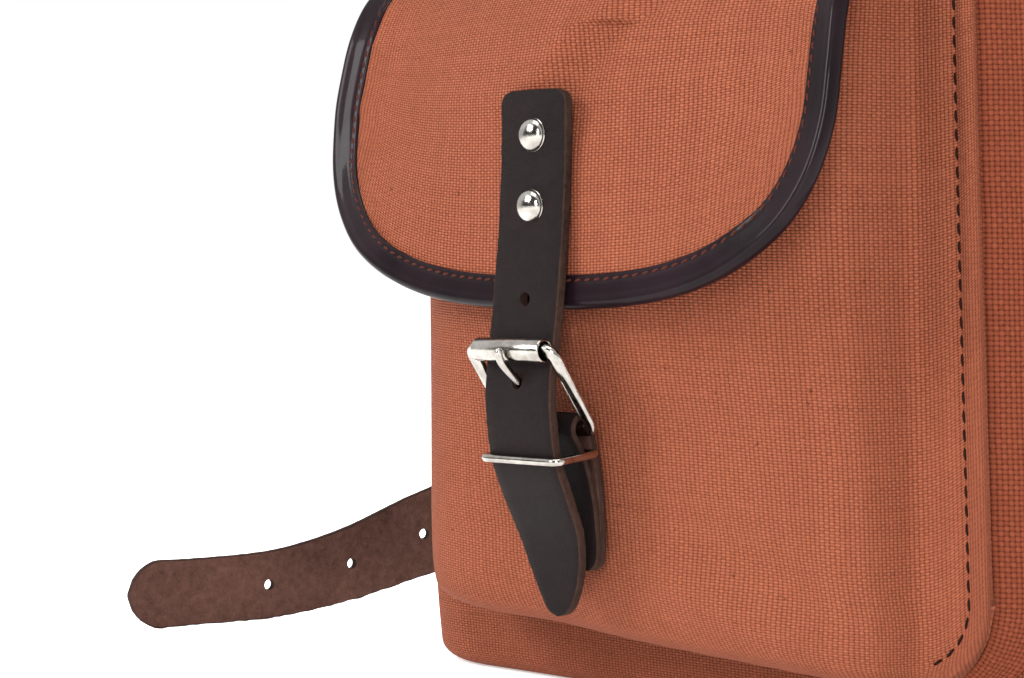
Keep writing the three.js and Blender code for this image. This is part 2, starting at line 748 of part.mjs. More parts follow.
function buckleRoller({ width, roller }) {
  const length = width + 2 * frameClearance + barWidth - 2 * frameCorner;
  const shape = new THREE.Shape();
  shape.absarc(0, 0, rollerDiameter / 2, 0, 2 * Math.PI);
  const bore = new THREE.Path();
  bore.absarc(0, 0, Math.hypot(barWidth, barThickness) / 2 + seatGap, 0, 2 * Math.PI, true);
  shape.holes.push(bore);
  const tube = new THREE.ExtrudeGeometry(shape, { depth: length, bevelEnabled: false, curveSegments: 6 });
  tube.translate(0, 0, -length / 2);
  tube.rotateY(Math.PI / 2);
  tube.translate(0, -roller, 0);
  return tube;
}

// Wire that turns round the bar, passes through the strap and rests on the roller
function tongueLine({ roller, bar, barUp }) {
  const ring = [0.3, 0.1, -0.15, -0.4, -0.65, -0.85].map((share) => share * Math.PI);
  const seat = (rollerDiameter + tongueDiameter) / 2 + seatGap;
  return [
    ...ring.reverse().map((turn) => (
      local(0, bar + tongueRing * Math.cos(turn), barUp + tongueRing * Math.sin(turn)))),
    local(0, roller + 0.9 * seat, -0.5 * seat),
    local(0, roller + 1.02 * seat, 0.12 * seat),
  ];
}

function buckleTongue(layout) {
  const line = tongueLine(layout);
  const frames = line.map((place, k) => {
    const [before, after] = [line[Math.max(k - 1, 0)], line[Math.min(k + 1, line.length - 1)]];
    const travel = after.clone().sub(before).normalize();
    return { place, side: across, rise: travel.cross(across).normalize() };
  });
  return sweep(frames, roundSection(tongueDiameter / 2, wireSides));
}

// Punch for the hole that the tongue passes through, along the tongue's own straight stretch
function tonguePunch(layout, strapOut) {
  const line = tongueLine(layout);
  const [from, to] = [line[line.length - 3], line[line.length - 2]];
  const share = (-strapOut - from.y) / (to.y - from.y);
  return punch(from.clone().lerp(to, share), to.clone().sub(from), tongueDiameter + 4 * seatGap);
}

function chapeStation(layout, along) {
  const seat = seatGap + chapeWall / 2 + readTable(chapeLine, 'along', 1, 'half') * wrapRadius;
  return {
    out: seat + readTable(chapeLine, 'along', along, 'rise') * (layout.bar - seat),
    up: layout.barUp - along * chapeLength,
    half: readTable(chapeLine, 'along', along, 'half') * wrapRadius,
  };
}

// Two layers of leather folded over the bar, with a slot for the tongue
function chape(layout) {
  const halfWide = (layout.width - chapeNarrower) / 2;
  const stations = chapeLine.map(({ along, wide }) => ({ ...chapeStation(layout, along), wide }));
  const normals = stations.map((station, k) => {
    const [a, b] = [stations[Math.max(k - 1, 0)], stations[Math.min(k + 1, stations.length - 1)]];
    const length = Math.hypot(b.out - a.out, b.up - a.up);
    return { out: -(b.up - a.up) / length, up: (b.out - a.out) / length };
  });
  const layer = (side) => stations.map(({ out, up, half, wide }, k) => ({
    out: out + side * half * normals[k].out,
    up: up + side * half * normals[k].up,
    wide,
  }));
  const lean = Math.atan2(normals[0].up, normals[0].out);
  const wrap = [0.75, 0.5, 0.25].map((share) => ({
    out: layout.bar + wrapRadius * Math.cos(lean + share * Math.PI),
    up: layout.barUp + wrapRadius * Math.sin(lean + share * Math.PI),
    wide: 1,
  }));
  const path = [...layer(-1).reverse(), ...wrap, ...layer(1)];
  const rows = path.map(({ out, up, wide }) => [-1, 1].map((x) => local(x * halfWide * wide, out, up)));
  const slot = new THREE.BoxGeometry(tongueDiameter + 4 * seatGap, 3 * wrapRadius, 3.4 * wrapRadius);
  slot.translate(0, -layout.bar, layout.barUp);
  return cut(sheet(rows, chapeWall / 2, chapeWall / 2), [slot]);
}

function keeper(layout, strapOut, frontUp) {
  const back = chapeStation(layout, keeperOnChape);
  const halfWide = layout.width / 2 + 2 * seatGap + keeperWire / 2;
  const front = strapOut + leatherWall / 2 + seatGap + keeperWire / 2;
  const frames = loopFrames(halfWide, [back.out, back.up], [front, frontUp], keeperCorner);
  return sweep(frames, roundSection(keeperWire / 2, wireSides), true);
}

function addBuckle(group, name, layout, strapOut, frontUp) {
  addPiece(`${name}_buckle_frame`, buckleFrame(layout), nickel, group);
  addPiece(`${name}_buckle_roller`, buckleRoller(layout), nickel, group);
  addPiece(`${name}_buckle_tongue`, buckleTongue(layout), nickel, group);
  addPiece(`${name}_chape`, chape(layout), darkLeather, group);
  addPiece(`${name}_keeper`, keeper(layout, strapOut, frontUp), nickel, group);
}

// Domed head with a shank through the leather, its head towards -y
function rivet() {
  const r = rivetDiameter / 2;
  const dome = [[0, 1], [0.6, 0.8], [1, 0.15], [1, 0]].map(([x, y]) => [x * r, y * rivetHeight + seatGap]);
  const profile = [...dome, [rivetShank / 2, seatGap], [rivetShank / 2, -leatherWall], [0, -leatherWall]];
  const lathe = new THREE.LatheGeometry(profile.map(([x, y]) => new THREE.Vector2(x, y)).reverse(), 8);
  lathe.rotateX(Math.PI);
  return closedSolid(lathe);
}

// Merges the shared corners of a turned solid and drops the faces that close up on its axis
function closedSolid(geometry) {
  geometry.deleteAttribute('normal');
  geometry.deleteAttribute('uv');
  const merged = mergeVertices(geometry);
  const place = merged.attributes.position;
  const corner = (k) => new THREE.Vector3().fromBufferAttribute(place, k);
  const points = Array.from({ length: place.count }, (_, k) => corner(k));
  const order = Array.from(merged.index.array);
  const faces = [];
  for (let k = 0; k < order.length; k += 3) {
    const [a, b, c] = order.slice(k, k + 3);
    if (a !== b && b !== c && a !== c) faces.push([a, b, c]);
  }
  return buildGeometry(points, faces);
}

// Strap riveted to a flap, buckled to a loop on the cloth below it
function addClosure(name, x, baseY, rollerZ, flapOut, turn) {
  const group = new THREE.Group();
  group.position.set(x, baseY, rollerZ);
  group.rotation.z = THREE.MathUtils.degToRad(turn);
  bag.add(group);
  const layout = buckleLayout(strapWidth, rollerOut, barOut);
  const seat = flapOut + seatGap + leatherWall / 2;
  const flat = [[1, 0.84], [0.97, 1], [0.7, 1], [0.42, 1]];
  const path = [
    ...flat.map(([share, wide]) => ({ out: seat, up: share * strapOnFlap, wide })),
    ...buckledLine.map(({ up, out }) => ({ out: out * layout.passOut, up: up * frameLength, wide: 1 })),
    ...strapTip.map(({ up, out, wide }) => ({ out: out * layout.passOut, up: -up * strapTail, wide })),
  ];
  const rows = path.map(({ out, up, wide }) => (
    [-1, 1].map((s) => local(s * strapWidth / 2 * wide, out, up))));
  const outAt = (up) => readTable(path, 'up', up, 'out');
  const rivetUps = [0, 1].map((k) => strapOnFlap - rivetFromEnd - k * rivetSpacing);
  const away = new THREE.Vector3(0, 1, 0);
  const tongueUp = -0.5 * frameLength * layout.passOut / layout.roller;
  const punches = [
    ...rivetUps.map((up) => punch(local(0, outAt(up), up), away, rivetShank + 2 * seatGap)),
    punch(local(0, outAt(tongueUp + strapHolePitch), tongueUp + strapHolePitch), away, strapHoleDiameter),
    tonguePunch(layout, outAt(tongueUp)),
  ];
  const strap = cut(sheet(rows, leatherWall / 2, leatherWall / 2), punches);
  addPiece(`${name}_strap`, strap, darkLeather, group);
  rivetUps.forEach((up, k) => {
    const head = addPiece(`${name}_rivet_${k === 0 ? 'upper' : 'lower'}`, rivet(), nickel, group);
    head.position.copy(local(0, outAt(up) + leatherWall / 2, up));
  });
  const keeperUp = keeperShare * frameLength;
  addBuckle(group, name, layout, outAt(keeperUp), keeperUp);
}

// Shoulder strap from the top of the back through the lower buckle to its free end on the floor

const lowerBuckleX = bodyWidth / 2 - lowerBuckleInset;
const lowerLayout = buckleLayout(shoulderWidth, lowerRollerOut, lowerBarOut);
const lowerTurn = THREE.MathUtils.degToRad(lowerBuckleAngle);
const lowerPlace = new THREE.Matrix4().makeBasis(
  new THREE.Vector3(-Math.cos(lowerTurn), 0, -Math.sin(lowerTurn)),
  new THREE.Vector3(0, -1, 0),
  new THREE.Vector3(-Math.sin(lowerTurn), 0, Math.cos(lowerTurn)),
).setPosition(lowerBuckleX, backFace(lowerBuckleX, lowerBuckleZ), lowerBuckleZ);

// The strap's stations on the right side: middle, turn of its width about Y, and share of its width
function shoulderStations() {
  const arm = armRows.map(({ down, bow, across: way }) => {
    const x = anchorSpread + way * (lowerBuckleX - anchorSpread);
    const z = anchorHeight - down * (anchorHeight - lowerBuckleZ);
    const flatY = backFace(Math.max(x - shoulderWidth / 2, 0), z) + seatGap + leatherWall / 2;
    return { middle: new THREE.Vector3(x, flatY + bow * armBow, z), turn: lowerTurn * down ** 3, wide: 1 };
  });
  const held = lowerLine.map(({ up, out }) => ({
    middle: local(0, out * lowerLayout.passOut, up * frameLength).applyMatrix4(lowerPlace),
    turn: lowerTurn,
    wide: 1,
  }));
  const tailY = (run) => tailTipY + run * (tailBackY - tailTipY);
  const free = tailRows.map(({ reach, run, up, wide }, k) => ({
    middle: new THREE.Vector3(reach * tailReach, tailY(run), up * shoulderWidth),
    turn: lowerTurn + (Math.PI / 2 - lowerTurn) * Math.min((k + 1) / 4, 1),
    wide,
  }));
  return [...arm, ...held, ...free];
}

const shoulderLine = shoulderStations();

const anchorPlace = shoulderLine[0].middle.clone().lerp(
  shoulderLine[1].middle,
  rivetFromEnd / shoulderLine[0].middle.distanceTo(shoulderLine[1].middle),
);

const widthDirection = (turn) => new THREE.Vector3(Math.cos(turn), 0, Math.sin(turn));

// Punch through the shoulder strap at a distance from its tip
function tailPunch(distance) {
  let left = distance;
  for (let k = shoulderLine.length - 1; k > 0; k -= 1) {
    const travel = shoulderLine[k - 1].middle.clone().sub(shoulderLine[k].middle);
    if (left <= travel.length()) {
      const face = widthDirection(shoulderLine[k].turn).cross(travel);
      const place = shoulderLine[k].middle.clone().addScaledVector(travel.normalize(), left);
      return punch(place, face, strapHoleDiameter);
    }
    left -= travel.length();
  }
  return null;
}

function shoulderStrap() {
  const rows = shoulderLine.map(({ middle, turn, wide }) => [-1, 1].map((s) => (
    middle.clone().addScaledVector(widthDirection(turn), s * wide * shoulderWidth / 2))));
  const holes = [0, 1, 2, 3].map((k) => tailPunch(tailFirstHole + k * tailHolePitch));
  const tongueOut = lowerLayout.passOut;
  const buckled = tonguePunch(lowerLayout, tongueOut).applyMatrix4(lowerPlace);
  const away = new THREE.Vector3(0, 1, 0);
  const shank = punch(anchorPlace, away, rivetShank + 2 * seatGap);
  return cut(sheet(rows, leatherWall / 2, leatherWall / 2), [...holes, buckled, shank]);
}

// The same piece on both sides, the left one mirrored
function addPair(name, geometry, material) {
  addPiece(`${name}_right`, geometry, material);
  const other = geometry.clone();
  other.scale(-1, 1, 1);
  const order = Array.from(other.index.array);
  other.setIndex(order.map((_, k) => order[k - (k % 3) + [0, 2, 1][k % 3]]));
  other.computeVertexNormals();
  addPiece(`${name}_left`, other, material);
}

function addShoulderStraps() {
  addPair('shoulder_strap', shoulderStrap(), darkLeather);
  const top = rivet().rotateZ(Math.PI);
  top.translate(anchorPlace.x, anchorPlace.y + leatherWall / 2, anchorPlace.z);
  addPair('shoulder_anchor_rivet', top, nickel);
  const keeperUp = keeperShare * frameLength;
  const keeperOut = readTable(lowerLine, 'up', keeperShare, 'out') * lowerLayout.passOut;
  const pieces = [
    ['shoulder_buckle_frame', buckleFrame(lowerLayout), nickel],
    ['shoulder_buckle_roller', buckleRoller(lowerLayout), nickel],
    ['shoulder_buckle_tongue', buckleTongue(lowerLayout), nickel],
    ['shoulder_chape', chape(lowerLayout), darkLeather],
    ['shoulder_keeper', keeper(lowerLayout, keeperOut, keeperUp), nickel],
  ];
  for (const [name, geometry, material] of pieces) {
    geometry.applyMatrix4(lowerPlace);
    addPair(name, mergeVertices(geometry), material);
  }
}

// Grab handle behind the lid

function addHandle() {
  const y = lidBackY(handleHalfSpan - handleWidth / 2, lidRows[0].along) + seatGap + handleWall / 2;
  const half = handleRows.map(({ across: share, up, wide }) => (
    { x: share * handleHalfSpan, z: handleFoot + up * (handleTop - handleFoot), wide }));
  const line = [...half.map(({ x, z, wide }) => ({ x: -x, z, wide })).reverse(), ...half.slice(1)];
  const rows = line.map(({ x, z, wide }, k) => {
    const [a, b] = [line[Math.max(k - 1, 0)], line[Math.min(k + 1, line.length - 1)]];
    const side = new THREE.Vector3(b.z - a.z, 0, a.x - b.x).normalize();
    const halfWide = wide * handleWidth / 2;
    return [-1, -0.6, 0.6, 1].map((s) => new THREE.Vector3(x, y, z).addScaledVector(side, s * halfWide));
  });
  const feet = [-1, 1].map((s) => new THREE.Vector3(s * handleHalfSpan, y, handleFoot + rivetFromEnd));
  const away = new THREE.Vector3(0, 1, 0);
  const punches = feet.map((place) => punch(place, away, rivetShank + 2 * seatGap));
  addPiece('handle', cut(sheet(rows, handleWall / 2, handleWall / 2), punches), darkLeather);
  const head = rivet().rotateZ(Math.PI);
  head.translate(handleHalfSpan, y + handleWall / 2, handleFoot + rivetFromEnd);
  addPair('handle_rivet', head, nickel);
}

addPiece('body_front', bodyPanel(frontFace, 1), canvas);
addPiece('body_back', bodyPanel(backFace, -1), canvas);
addPiece('body_side_right', bodySide(1), canvas);
addPiece('body_side_left', bodySide(-1), canvas);
addPiece('body_base', bodyBase(), canvas);
addPiece('pocket_panel', pocketPanel(), canvas);
addPiece('pocket_gusset', pocketGusset(), canvasShade);
addPiece('pocket_flap', sheet(flapGrid(), 0, canvasWall), canvas);
addPiece('pocket_flap_binding', edgeBinding(flapGrid(), flapSeamRows), bindingLeather);
addPiece('lid', sheet(lidGrid(), 0, canvasWall), canvas);
addPiece('lid_binding', edgeBinding(lidGrid(), lidSeamRows), bindingLeather);

const pocketRollerZ = flapLowEdge(0) - buckleDrop;
addClosure('pocket', 0, flapFrontY + pocketSeat, pocketRollerZ, pocketSeat, closureTurn);

const lidRollerZ = lidLowEdge(lidStrapSpread) - buckleDrop;
const lidStrapInner = lidStrapSpread - strapWidth / 2;
const lidBaseY = frontFace(lidStrapInner, lidRollerZ - strapOnFlap);
for (const [name, side] of [['lid_right', 1], ['lid_left', -1]]) {
  addClosure(name, side * lidStrapSpread, lidBaseY, lidRollerZ, lidBaseY - lidFace(lidStrapInner), 0);
}

addShoulderStraps();
addHandle();

bag.updateMatrixWorld(true);
const extent = new THREE.Box3().setFromObject(bag, true);
const middle = extent.getCenter(new THREE.Vector3());
bag.position.set(-middle.x, -middle.y, -extent.min.z);
bag.updateMatrixWorld(true);

export default bag;
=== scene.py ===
import math

import bmesh
import bpy
import numpy as np
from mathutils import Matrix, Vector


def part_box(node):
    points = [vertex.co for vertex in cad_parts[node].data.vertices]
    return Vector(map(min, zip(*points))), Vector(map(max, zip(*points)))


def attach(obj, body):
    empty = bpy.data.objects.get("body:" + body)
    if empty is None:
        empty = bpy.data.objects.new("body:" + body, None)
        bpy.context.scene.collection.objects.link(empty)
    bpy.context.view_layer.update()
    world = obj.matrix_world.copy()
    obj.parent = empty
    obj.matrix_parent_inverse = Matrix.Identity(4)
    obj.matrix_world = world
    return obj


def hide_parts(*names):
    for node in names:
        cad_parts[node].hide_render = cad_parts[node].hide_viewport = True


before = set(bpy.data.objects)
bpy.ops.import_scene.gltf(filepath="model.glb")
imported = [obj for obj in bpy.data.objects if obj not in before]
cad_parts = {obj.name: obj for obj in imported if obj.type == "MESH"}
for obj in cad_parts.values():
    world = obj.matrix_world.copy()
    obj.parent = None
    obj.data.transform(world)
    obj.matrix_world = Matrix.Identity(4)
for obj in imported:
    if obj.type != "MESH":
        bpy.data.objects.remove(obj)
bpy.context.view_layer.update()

# Sizes in millimetres, on the bag's own middle line. They are the solids' own sizes, but for the bag's foot,
# the flap's curve, lean and shift, and the binding, which follow the photo more closely here
CANVAS = 2.0
LEATHER = 3.0
SEAT_GAP = 0.3

BODY_WIDTH, BODY_DEPTH, BODY_HEIGHT = 270.0, 124.0, 385.0
BODY_CORNER, BODY_FOOT = 30.0, 6.0
FRONT_BULGE, BACK_BULGE, SIDE_HOLLOW = 5.0, 2.0, 3.0

POCKET_BOTTOM, POCKET_TOP = 21.0, 206.0
POCKET_HALF, POCKET_CORNER = 105.3, 26.0
POCKET_SEAM, POCKET_FACE, POCKET_TILT = 15.0, 54.0, 8.0
POCKET_FLARE, POCKET_LIP, POCKET_FOOT = 9.0, 7.0, 7.0

FLAP_HALF, FLAP_DROP, FLAP_SHOULDER, FLAP_SEAM, FLAP_DEPTH = 97.0, 70.0, 190.0, 236.0, 74.0
FLAP_FULL_LEFT, FLAP_FULL_RIGHT = 2.7, 2.9
FLAP_TAPER, FLAP_LEAN, FLAP_LEAN_FROM, FLAP_SHIFT = 0.052, 4.6, 140.0, 1.6
EDGE_STRAIGHT = 8.0

LID_HALF, LID_FRONT, LID_DROP, LID_BACK, LID_TOP = 137.0, 318.0, 36.0, 352.0, 408.0
LID_STAND, LID_DROOP, LID_SWEEP = 15.0, 12.0, 4.0

BINDING_WIDTH, BINDING_WALL, BINDING_GAP = 8.8, 0.95, 0.35

STRAP_WIDTH, STRAP_HOLE, HOLE_PITCH = 25.0, 4.0, 25.0
ON_FLAP, STRAP_TAIL, CLOSURE_TURN = 72.0, 75.0, 1.0
LID_SPREAD, BUCKLE_DROP, POCKET_SEAT = 62.0, 13.0, 15.0
ROLLER_OUT, BAR_OUT, FRAME_LENGTH, FRAME_CORNER, FRAME_CLEAR = 27.0, 10.5, 27.5, 2.8, 1.0
BAR_WIDE, BAR_THICK, ROLLER, TONGUE = 4.0, 2.4, 6.6, 2.6
WRAP = math.hypot(BAR_WIDE, BAR_THICK) / 2 + SEAT_GAP
KEEPER, KEEPER_CORNER, KEEPER_SHARE, KEEPER_ON_CHAPE = 2.3, 2.2, -1.11, 0.17
CHAPE_LENGTH, CHAPE_WALL, CHAPE_NARROWER = 40.0, 1.8, 1.5
RIVET, RIVET_HEIGHT, RIVET_PITCH, RIVET_END = 9.5, 3.0, 19.8, 12.5

SHOULDER_WIDTH, ANCHOR_SPREAD, ANCHOR_Z, ARM_BOW = 34.0, 30.0, 335.0, 44.0
LOWER_ROLLER, LOWER_BAR, LOWER_X, LOWER_Z, LOWER_ANGLE = 18.0, 6.0, 52.0, 100.0, 55.0
TAIL_REACH, TAIL_BACK, TAIL_TIP, TAIL_HOLE, TAIL_PITCH = 248.0, 73.0, -91.0, 55.0, 34.5
HANDLE_WIDTH, HANDLE_WALL, HANDLE_HALF, HANDLE_TOP, HANDLE_FOOT = 22.0, 4.0, 46.0, 440.0, 350.0

WARP_PITCH, PICK_PITCH = 1.36, 0.81
SHARP = 42.0

low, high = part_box("body_base")
SHIFT_Y = (low.y + high.y) / 2 * 1000


def between(t, a, slope_a, b, slope_b):
    """A smooth way from a to b, with the slopes given at its ends."""
    return ((1 + 2 * t) * (1 - t) ** 2 * a + t * (1 - t) ** 2 * slope_a
            + t * t * (3 - 2 * t) * b + t * t * (t - 1) * slope_b)


class Table:
    """Columns read smoothly at any place, without overshoot."""

    def __init__(self, key, **columns):
        order = np.argsort(key)
        self.key = np.array(key, float)[order]
        self.columns = {name: np.array(values, float)[order] for name, values in columns.items()}

    def read(self, at, name):
        x, y = self.key, self.columns[name]
        at = np.clip(np.asarray(at, float), x[0], x[-1])
        step = np.diff(x)
        slope = np.diff(y) / step
        before, after = slope[:-1], slope[1:]
        same = before * after > 0
        mean = np.where(same, 2 * before * after / np.where(same, before + after, 1), 0)
        tangent = np.concatenate([slope[:1], mean, slope[-1:]])
        k = np.clip(np.searchsorted(x, at, side="right") - 1, 0, len(x) - 2)
        return between((at - x[k]) / step[k], y[k], step[k] * tangent[k], y[k + 1], step[k] * tangent[k + 1])


BODY = Table([0, 0.08, 0.3, 0.6, 0.85, 1], wide=[0.985, 1, 1, 0.985, 0.965, 0.95],
             deep=[1, 1.02, 1, 0.97, 0.93, 0.86], bulge=[0.3, 0.7, 1, 1, 0.7, 0.2])
# The pocket across its width and up its height, then the flap in plan and down its fall
PLAN = Table([-1, -0.893, -0.83, -0.8, -0.76, -0.7, -0.62, -0.53, -0.413, -0.275, 0, 0.138,
              0.275, 0.413, 0.55, 0.665, 0.722, 0.76, 0.783, 0.802, 0.836, 0.893, 1],
             out=[0, 0.039, 0.15, 0.3, 0.445, 0.56, 0.675, 0.775, 0.87, 0.94, 1, 0.95,
                  0.87, 0.785, 0.685, 0.58, 0.485, 0.355, 0.21, 0.1, 0.043, 0.039, 0])
PROFILE = Table([0, 0.01, 0.04, 0.09, 0.17, 0.29, 0.42, 0.56, 0.73, 0.88, 1],
                out=[0, 0.40, 0.59, 0.67, 0.72, 0.77, 0.86, 0.95, 1, 0.95, 0.82],
                left=[0, 0.66, 0.88, 0.93, 0.945, 0.95, 0.96, 0.98, 1, 0.95, 0.82])
FLAP_PLAN = Table([-1.06, -1, -0.95, -0.87, -0.77, -0.6, -0.35, 0, 0.35, 0.6, 0.77, 0.87, 0.95, 1, 1.06],
                  back=[0.147, 0.17, 0.185, 0.195, 0.185, 0.13, 0.05, 0, 0.05, 0.13, 0.185, 0.195, 0.185, 0.17, 0.147])
FLAP_FALL = Table([0, 0.19, 0.27, 0.35, 0.51, 0.72, 0.87, 1], curve=[0.06, 0.12, 0.24, 0.36, 0.62, 0.94, 1, 1],
                  fall=[0, 0, 0, 0, 0, 0, 0.03, 0.065])
FLAP_ROWS = [(0, 1), (0, 0.86), (0.13, 0.82), (0.37, 0.755), (0.60, 0.665), (0.77, 0.565),
             (0.87, 0.46), (0.95, 0.30)]
# Each row of the lid: place along the depth, height, share of the droop, share of the width
LID_ROWS = [
    (0.500, 0.00, 0.0, 0.78), (0.505, 0.35, 0.3, 0.84), (0.490, 0.66, 0.8, 0.93), (0.420, 0.86, 1.0, 0.98),
    (0.270, 0.96, 1.0, 1.00), (0.000, 1.00, 1.0, 1.00), (-0.280, 0.96, 1.0, 1.00), (-0.500, 0.86, 1.0, 1.00),
    (-0.585, 0.70, 0.8, 1.00), (-0.640, 0.45, 0.4, 1.00)]
# Straps as shares of their sizes: the buckled strap, the chape, the carrying strap's three stretches, the handle
BUCKLED = [(0.88, 0.865), (0.36, 0.935), (0.18, 0.97), (0, 1), (-0.38, 1.06), (-0.73, 1.04), (-1.11, 0.95),
           (-1.53, 0.71), (-1.89, 0.49), (-2.25, 0.365)]
CHAPE = Table([0, 0.12, 0.36, 0.58, 0.82, 0.95, 1], rise=[1, 0.72, 0.32, 0.13, 0.03, 0, 0],
              half=[1, 0.78, 0.55, 0.40, 0.31, 0.30, 0.30], wide=[1, 1, 1, 1, 1, 0.93, 0.72])
LOWER = [(0.40, 1.03), (0, 1), (-0.5, 1.02), (-1.0, 1.02), (-1.4, 0.94), (-2.0, 0.76)]
ARM = [(0, 0, 0), (0.10, 0, -0.05), (0.22, 0.22, -0.15), (0.40, 0.72, -0.30), (0.58, 1, -0.40),
       (0.76, 0.92, -0.20), (0.88, 0.50, 0.18)]
TAIL = [
    (0.50, 1.00, 1.55, 1.00), (0.60, 1.00, 1.33, 1.00), (0.74, 0.955, 1.20, 1.00), (0.845, 0.85, 1.04, 0.97),
    (0.890, 0.72, 0.83, 0.92), (0.915, 0.52, 0.55, 0.80), (0.940, 0.34, 0.40, 0.73), (0.975, 0.14, 0.367, 0.71),
    (0.990, 0.06, 0.365, 0.71), (1.0, 0.0, 0.365, 0.6)]
HANDLE = [(0, 1, 0.62), (0.40, 0.95, 0.62), (0.74, 0.79, 0.66), (0.94, 0.56, 0.80), (1, 0.32, 1), (1, 0, 1)]
# Half widths from a strap's tip: the closures' points and the carrying straps' rounder ends
POINT = Table([0, 0.6, 1.8, 4.5, 10, 18, 28, 40, 60], half=[0.8, 2.6, 4.2, 6.0, 8.4, 10.6, 12.1, 12.5, 12.5])
TIP = Table([0, 0.8, 2.5, 6, 12, 20, 30], half=[1.2, 4.0, 7.0, 10.2, 12.6, 13.5, 30])


def spline(points, spacing, closed=False):
    """Points a given distance apart on a smooth line through the ones given; further columns go along."""
    p = np.array(points, float)
    if closed:
        p = np.vstack([p[-1:], p, p[:2]])
    else:
        p = np.vstack([2 * p[0] - p[1], p, 2 * p[-1] - p[-2]])
    out = []
    for k in range(1, len(p) - 2):
        a, b, c, d = p[k - 1:k + 3]
        la, lb, lc = (max(np.linalg.norm((q - r)[:3]), 1e-6) ** 0.5 for q, r in ((b, a), (c, b), (d, c)))
        m1 = lb * ((b - a) / la - (c - a) / (la + lb) + (c - b) / lb)
        m2 = lb * ((c - b) / lb - (d - b) / (lb + lc) + (d - c) / lc)
        out.append(between(np.linspace(0, 1, 24, endpoint=False)[:, None], b, m1, c, m2))
    if not closed:
        out.append(p[-2:-1])
    return respace(np.vstack(out), spacing, closed)


def lengths(line):
    """The way along a line to each of its points."""
    return np.concatenate([[0], np.cumsum(np.linalg.norm(np.diff(line[:, :3], axis=0), axis=1))])


def respace(line, spacing, closed=False):
    if closed:
        line = np.vstack([line, line[:1]])
    length = lengths(line)
    at = np.linspace(0, length[-1], max(int(round(length[-1] / spacing)), 2) + 1)
    if closed:
        at = at[:-1]
    return np.stack([np.interp(at, length, column) for column in line.T], 1)


def stretches(*parts):
    """Even steps over stretches that follow each other, each given as (from, to, count)."""
    return np.concatenate([np.linspace(*part)[:-1] for part in parts] + [parts[-1][1:2]])


def unit(v):
    return v / np.maximum(np.linalg.norm(v, axis=-1, keepdims=True), 1e-9)


# Node materials

def arithmetic(operation, turned=False):
    """An arithmetic sign between sockets."""
    return lambda self, other: self.shade.maths(operation, *((other, self) if turned else (self, other)))


class Num:
    """A socket that can be used in arithmetic."""

    __add__, __radd__ = arithmetic("ADD"), arithmetic("ADD", True)
    __sub__, __rsub__ = arithmetic("SUBTRACT"), arithmetic("SUBTRACT", True)
    __mul__, __truediv__ = arithmetic("MULTIPLY"), arithmetic("DIVIDE")

    def __init__(self, shade, socket):
        self.shade, self.socket = shade, socket


class Shade:
    """A material under construction, with a place on the object to read noises at."""

    def __init__(self, name, **constants):
        self.material = bpy.data.materials.new(name)
        self.material.use_nodes = True
        self.tree = self.material.node_tree
        self.tree.nodes.clear()
        output = self.tree.nodes.new("ShaderNodeOutputMaterial")
        self.surface = self.tree.nodes.new("ShaderNodeBsdfPrincipled")
        self.tree.links.new(self.surface.outputs["BSDF"], output.inputs["Surface"])
        self.place = self.node("TexCoord").outputs["Object"]
        for socket, value in constants.items():
            self.surface.inputs[socket.replace("_", " ")].default_value = value

    def link(self, value, socket):
        if isinstance(value, Num):
            value = value.socket
        if isinstance(value, bpy.types.NodeSocket):
            self.tree.links.new(value, socket)
        else:
            socket.default_value = value

    def node(self, kind, settings={}, values={}):
        made = self.tree.nodes.new("ShaderNode" + kind)
        for name, value in settings.items():
            setattr(made, name, value)
        for key, value in values.items():
            self.link(value, made.inputs[key])
        return made

    def number(self, output, kind, settings={}, values={}):
        return Num(self, self.node(kind, settings, values).outputs[output])

    def maths(self, operation, *values):
        return self.number(0, "Math", {"operation": operation}, dict(enumerate(values)))

    def mix(self, factor, one, other):
        return self.node("Mix", {"data_type": "RGBA"}, {0: factor, 6: one, 7: other}).outputs[2]

    def split(self, vector):
        made = self.node("SeparateXYZ", {}, {0: vector})
        return [Num(self, made.outputs[k]) for k in range(3)]

    def join(self, x, y, z):
        return self.node("CombineXYZ", {}, {0: x, 1: y, 2: z}).outputs[0]

    def noise(self, scale, detail=2.0, roughness=0.5, at=None):
        values = {"Vector": at or self.place, "Scale": scale, "Detail": detail, "Roughness": roughness}
        return self.number("Fac", "TexNoise", {}, values)

    def ramp(self, value, low_end, high_end):
        values = {"Value": value, "From Min": low_end, "From Max": high_end}
        return self.number(0, "MapRange", {"clamp": True}, values)

    def bump(self, height, distance, strength):
        return self.node("Bump", {}, {"Height": height, "Distance": distance, "Strength": strength}).outputs[0]

    def finish(self, **sockets):
        for socket, value in sockets.items():
            self.link(value, self.surface.inputs[socket.replace("_", " ")])
        return self.material


def srgb(r, g, b):
    return tuple(((c / 255 + 0.055) / 1.055) ** 2.4 if c > 10 else c / 255 / 12.92 for c in (r, g, b)) + (1.0,)


def times(colour, factor):
    return tuple(c * factor for c in colour[:3]) + (1.0,)


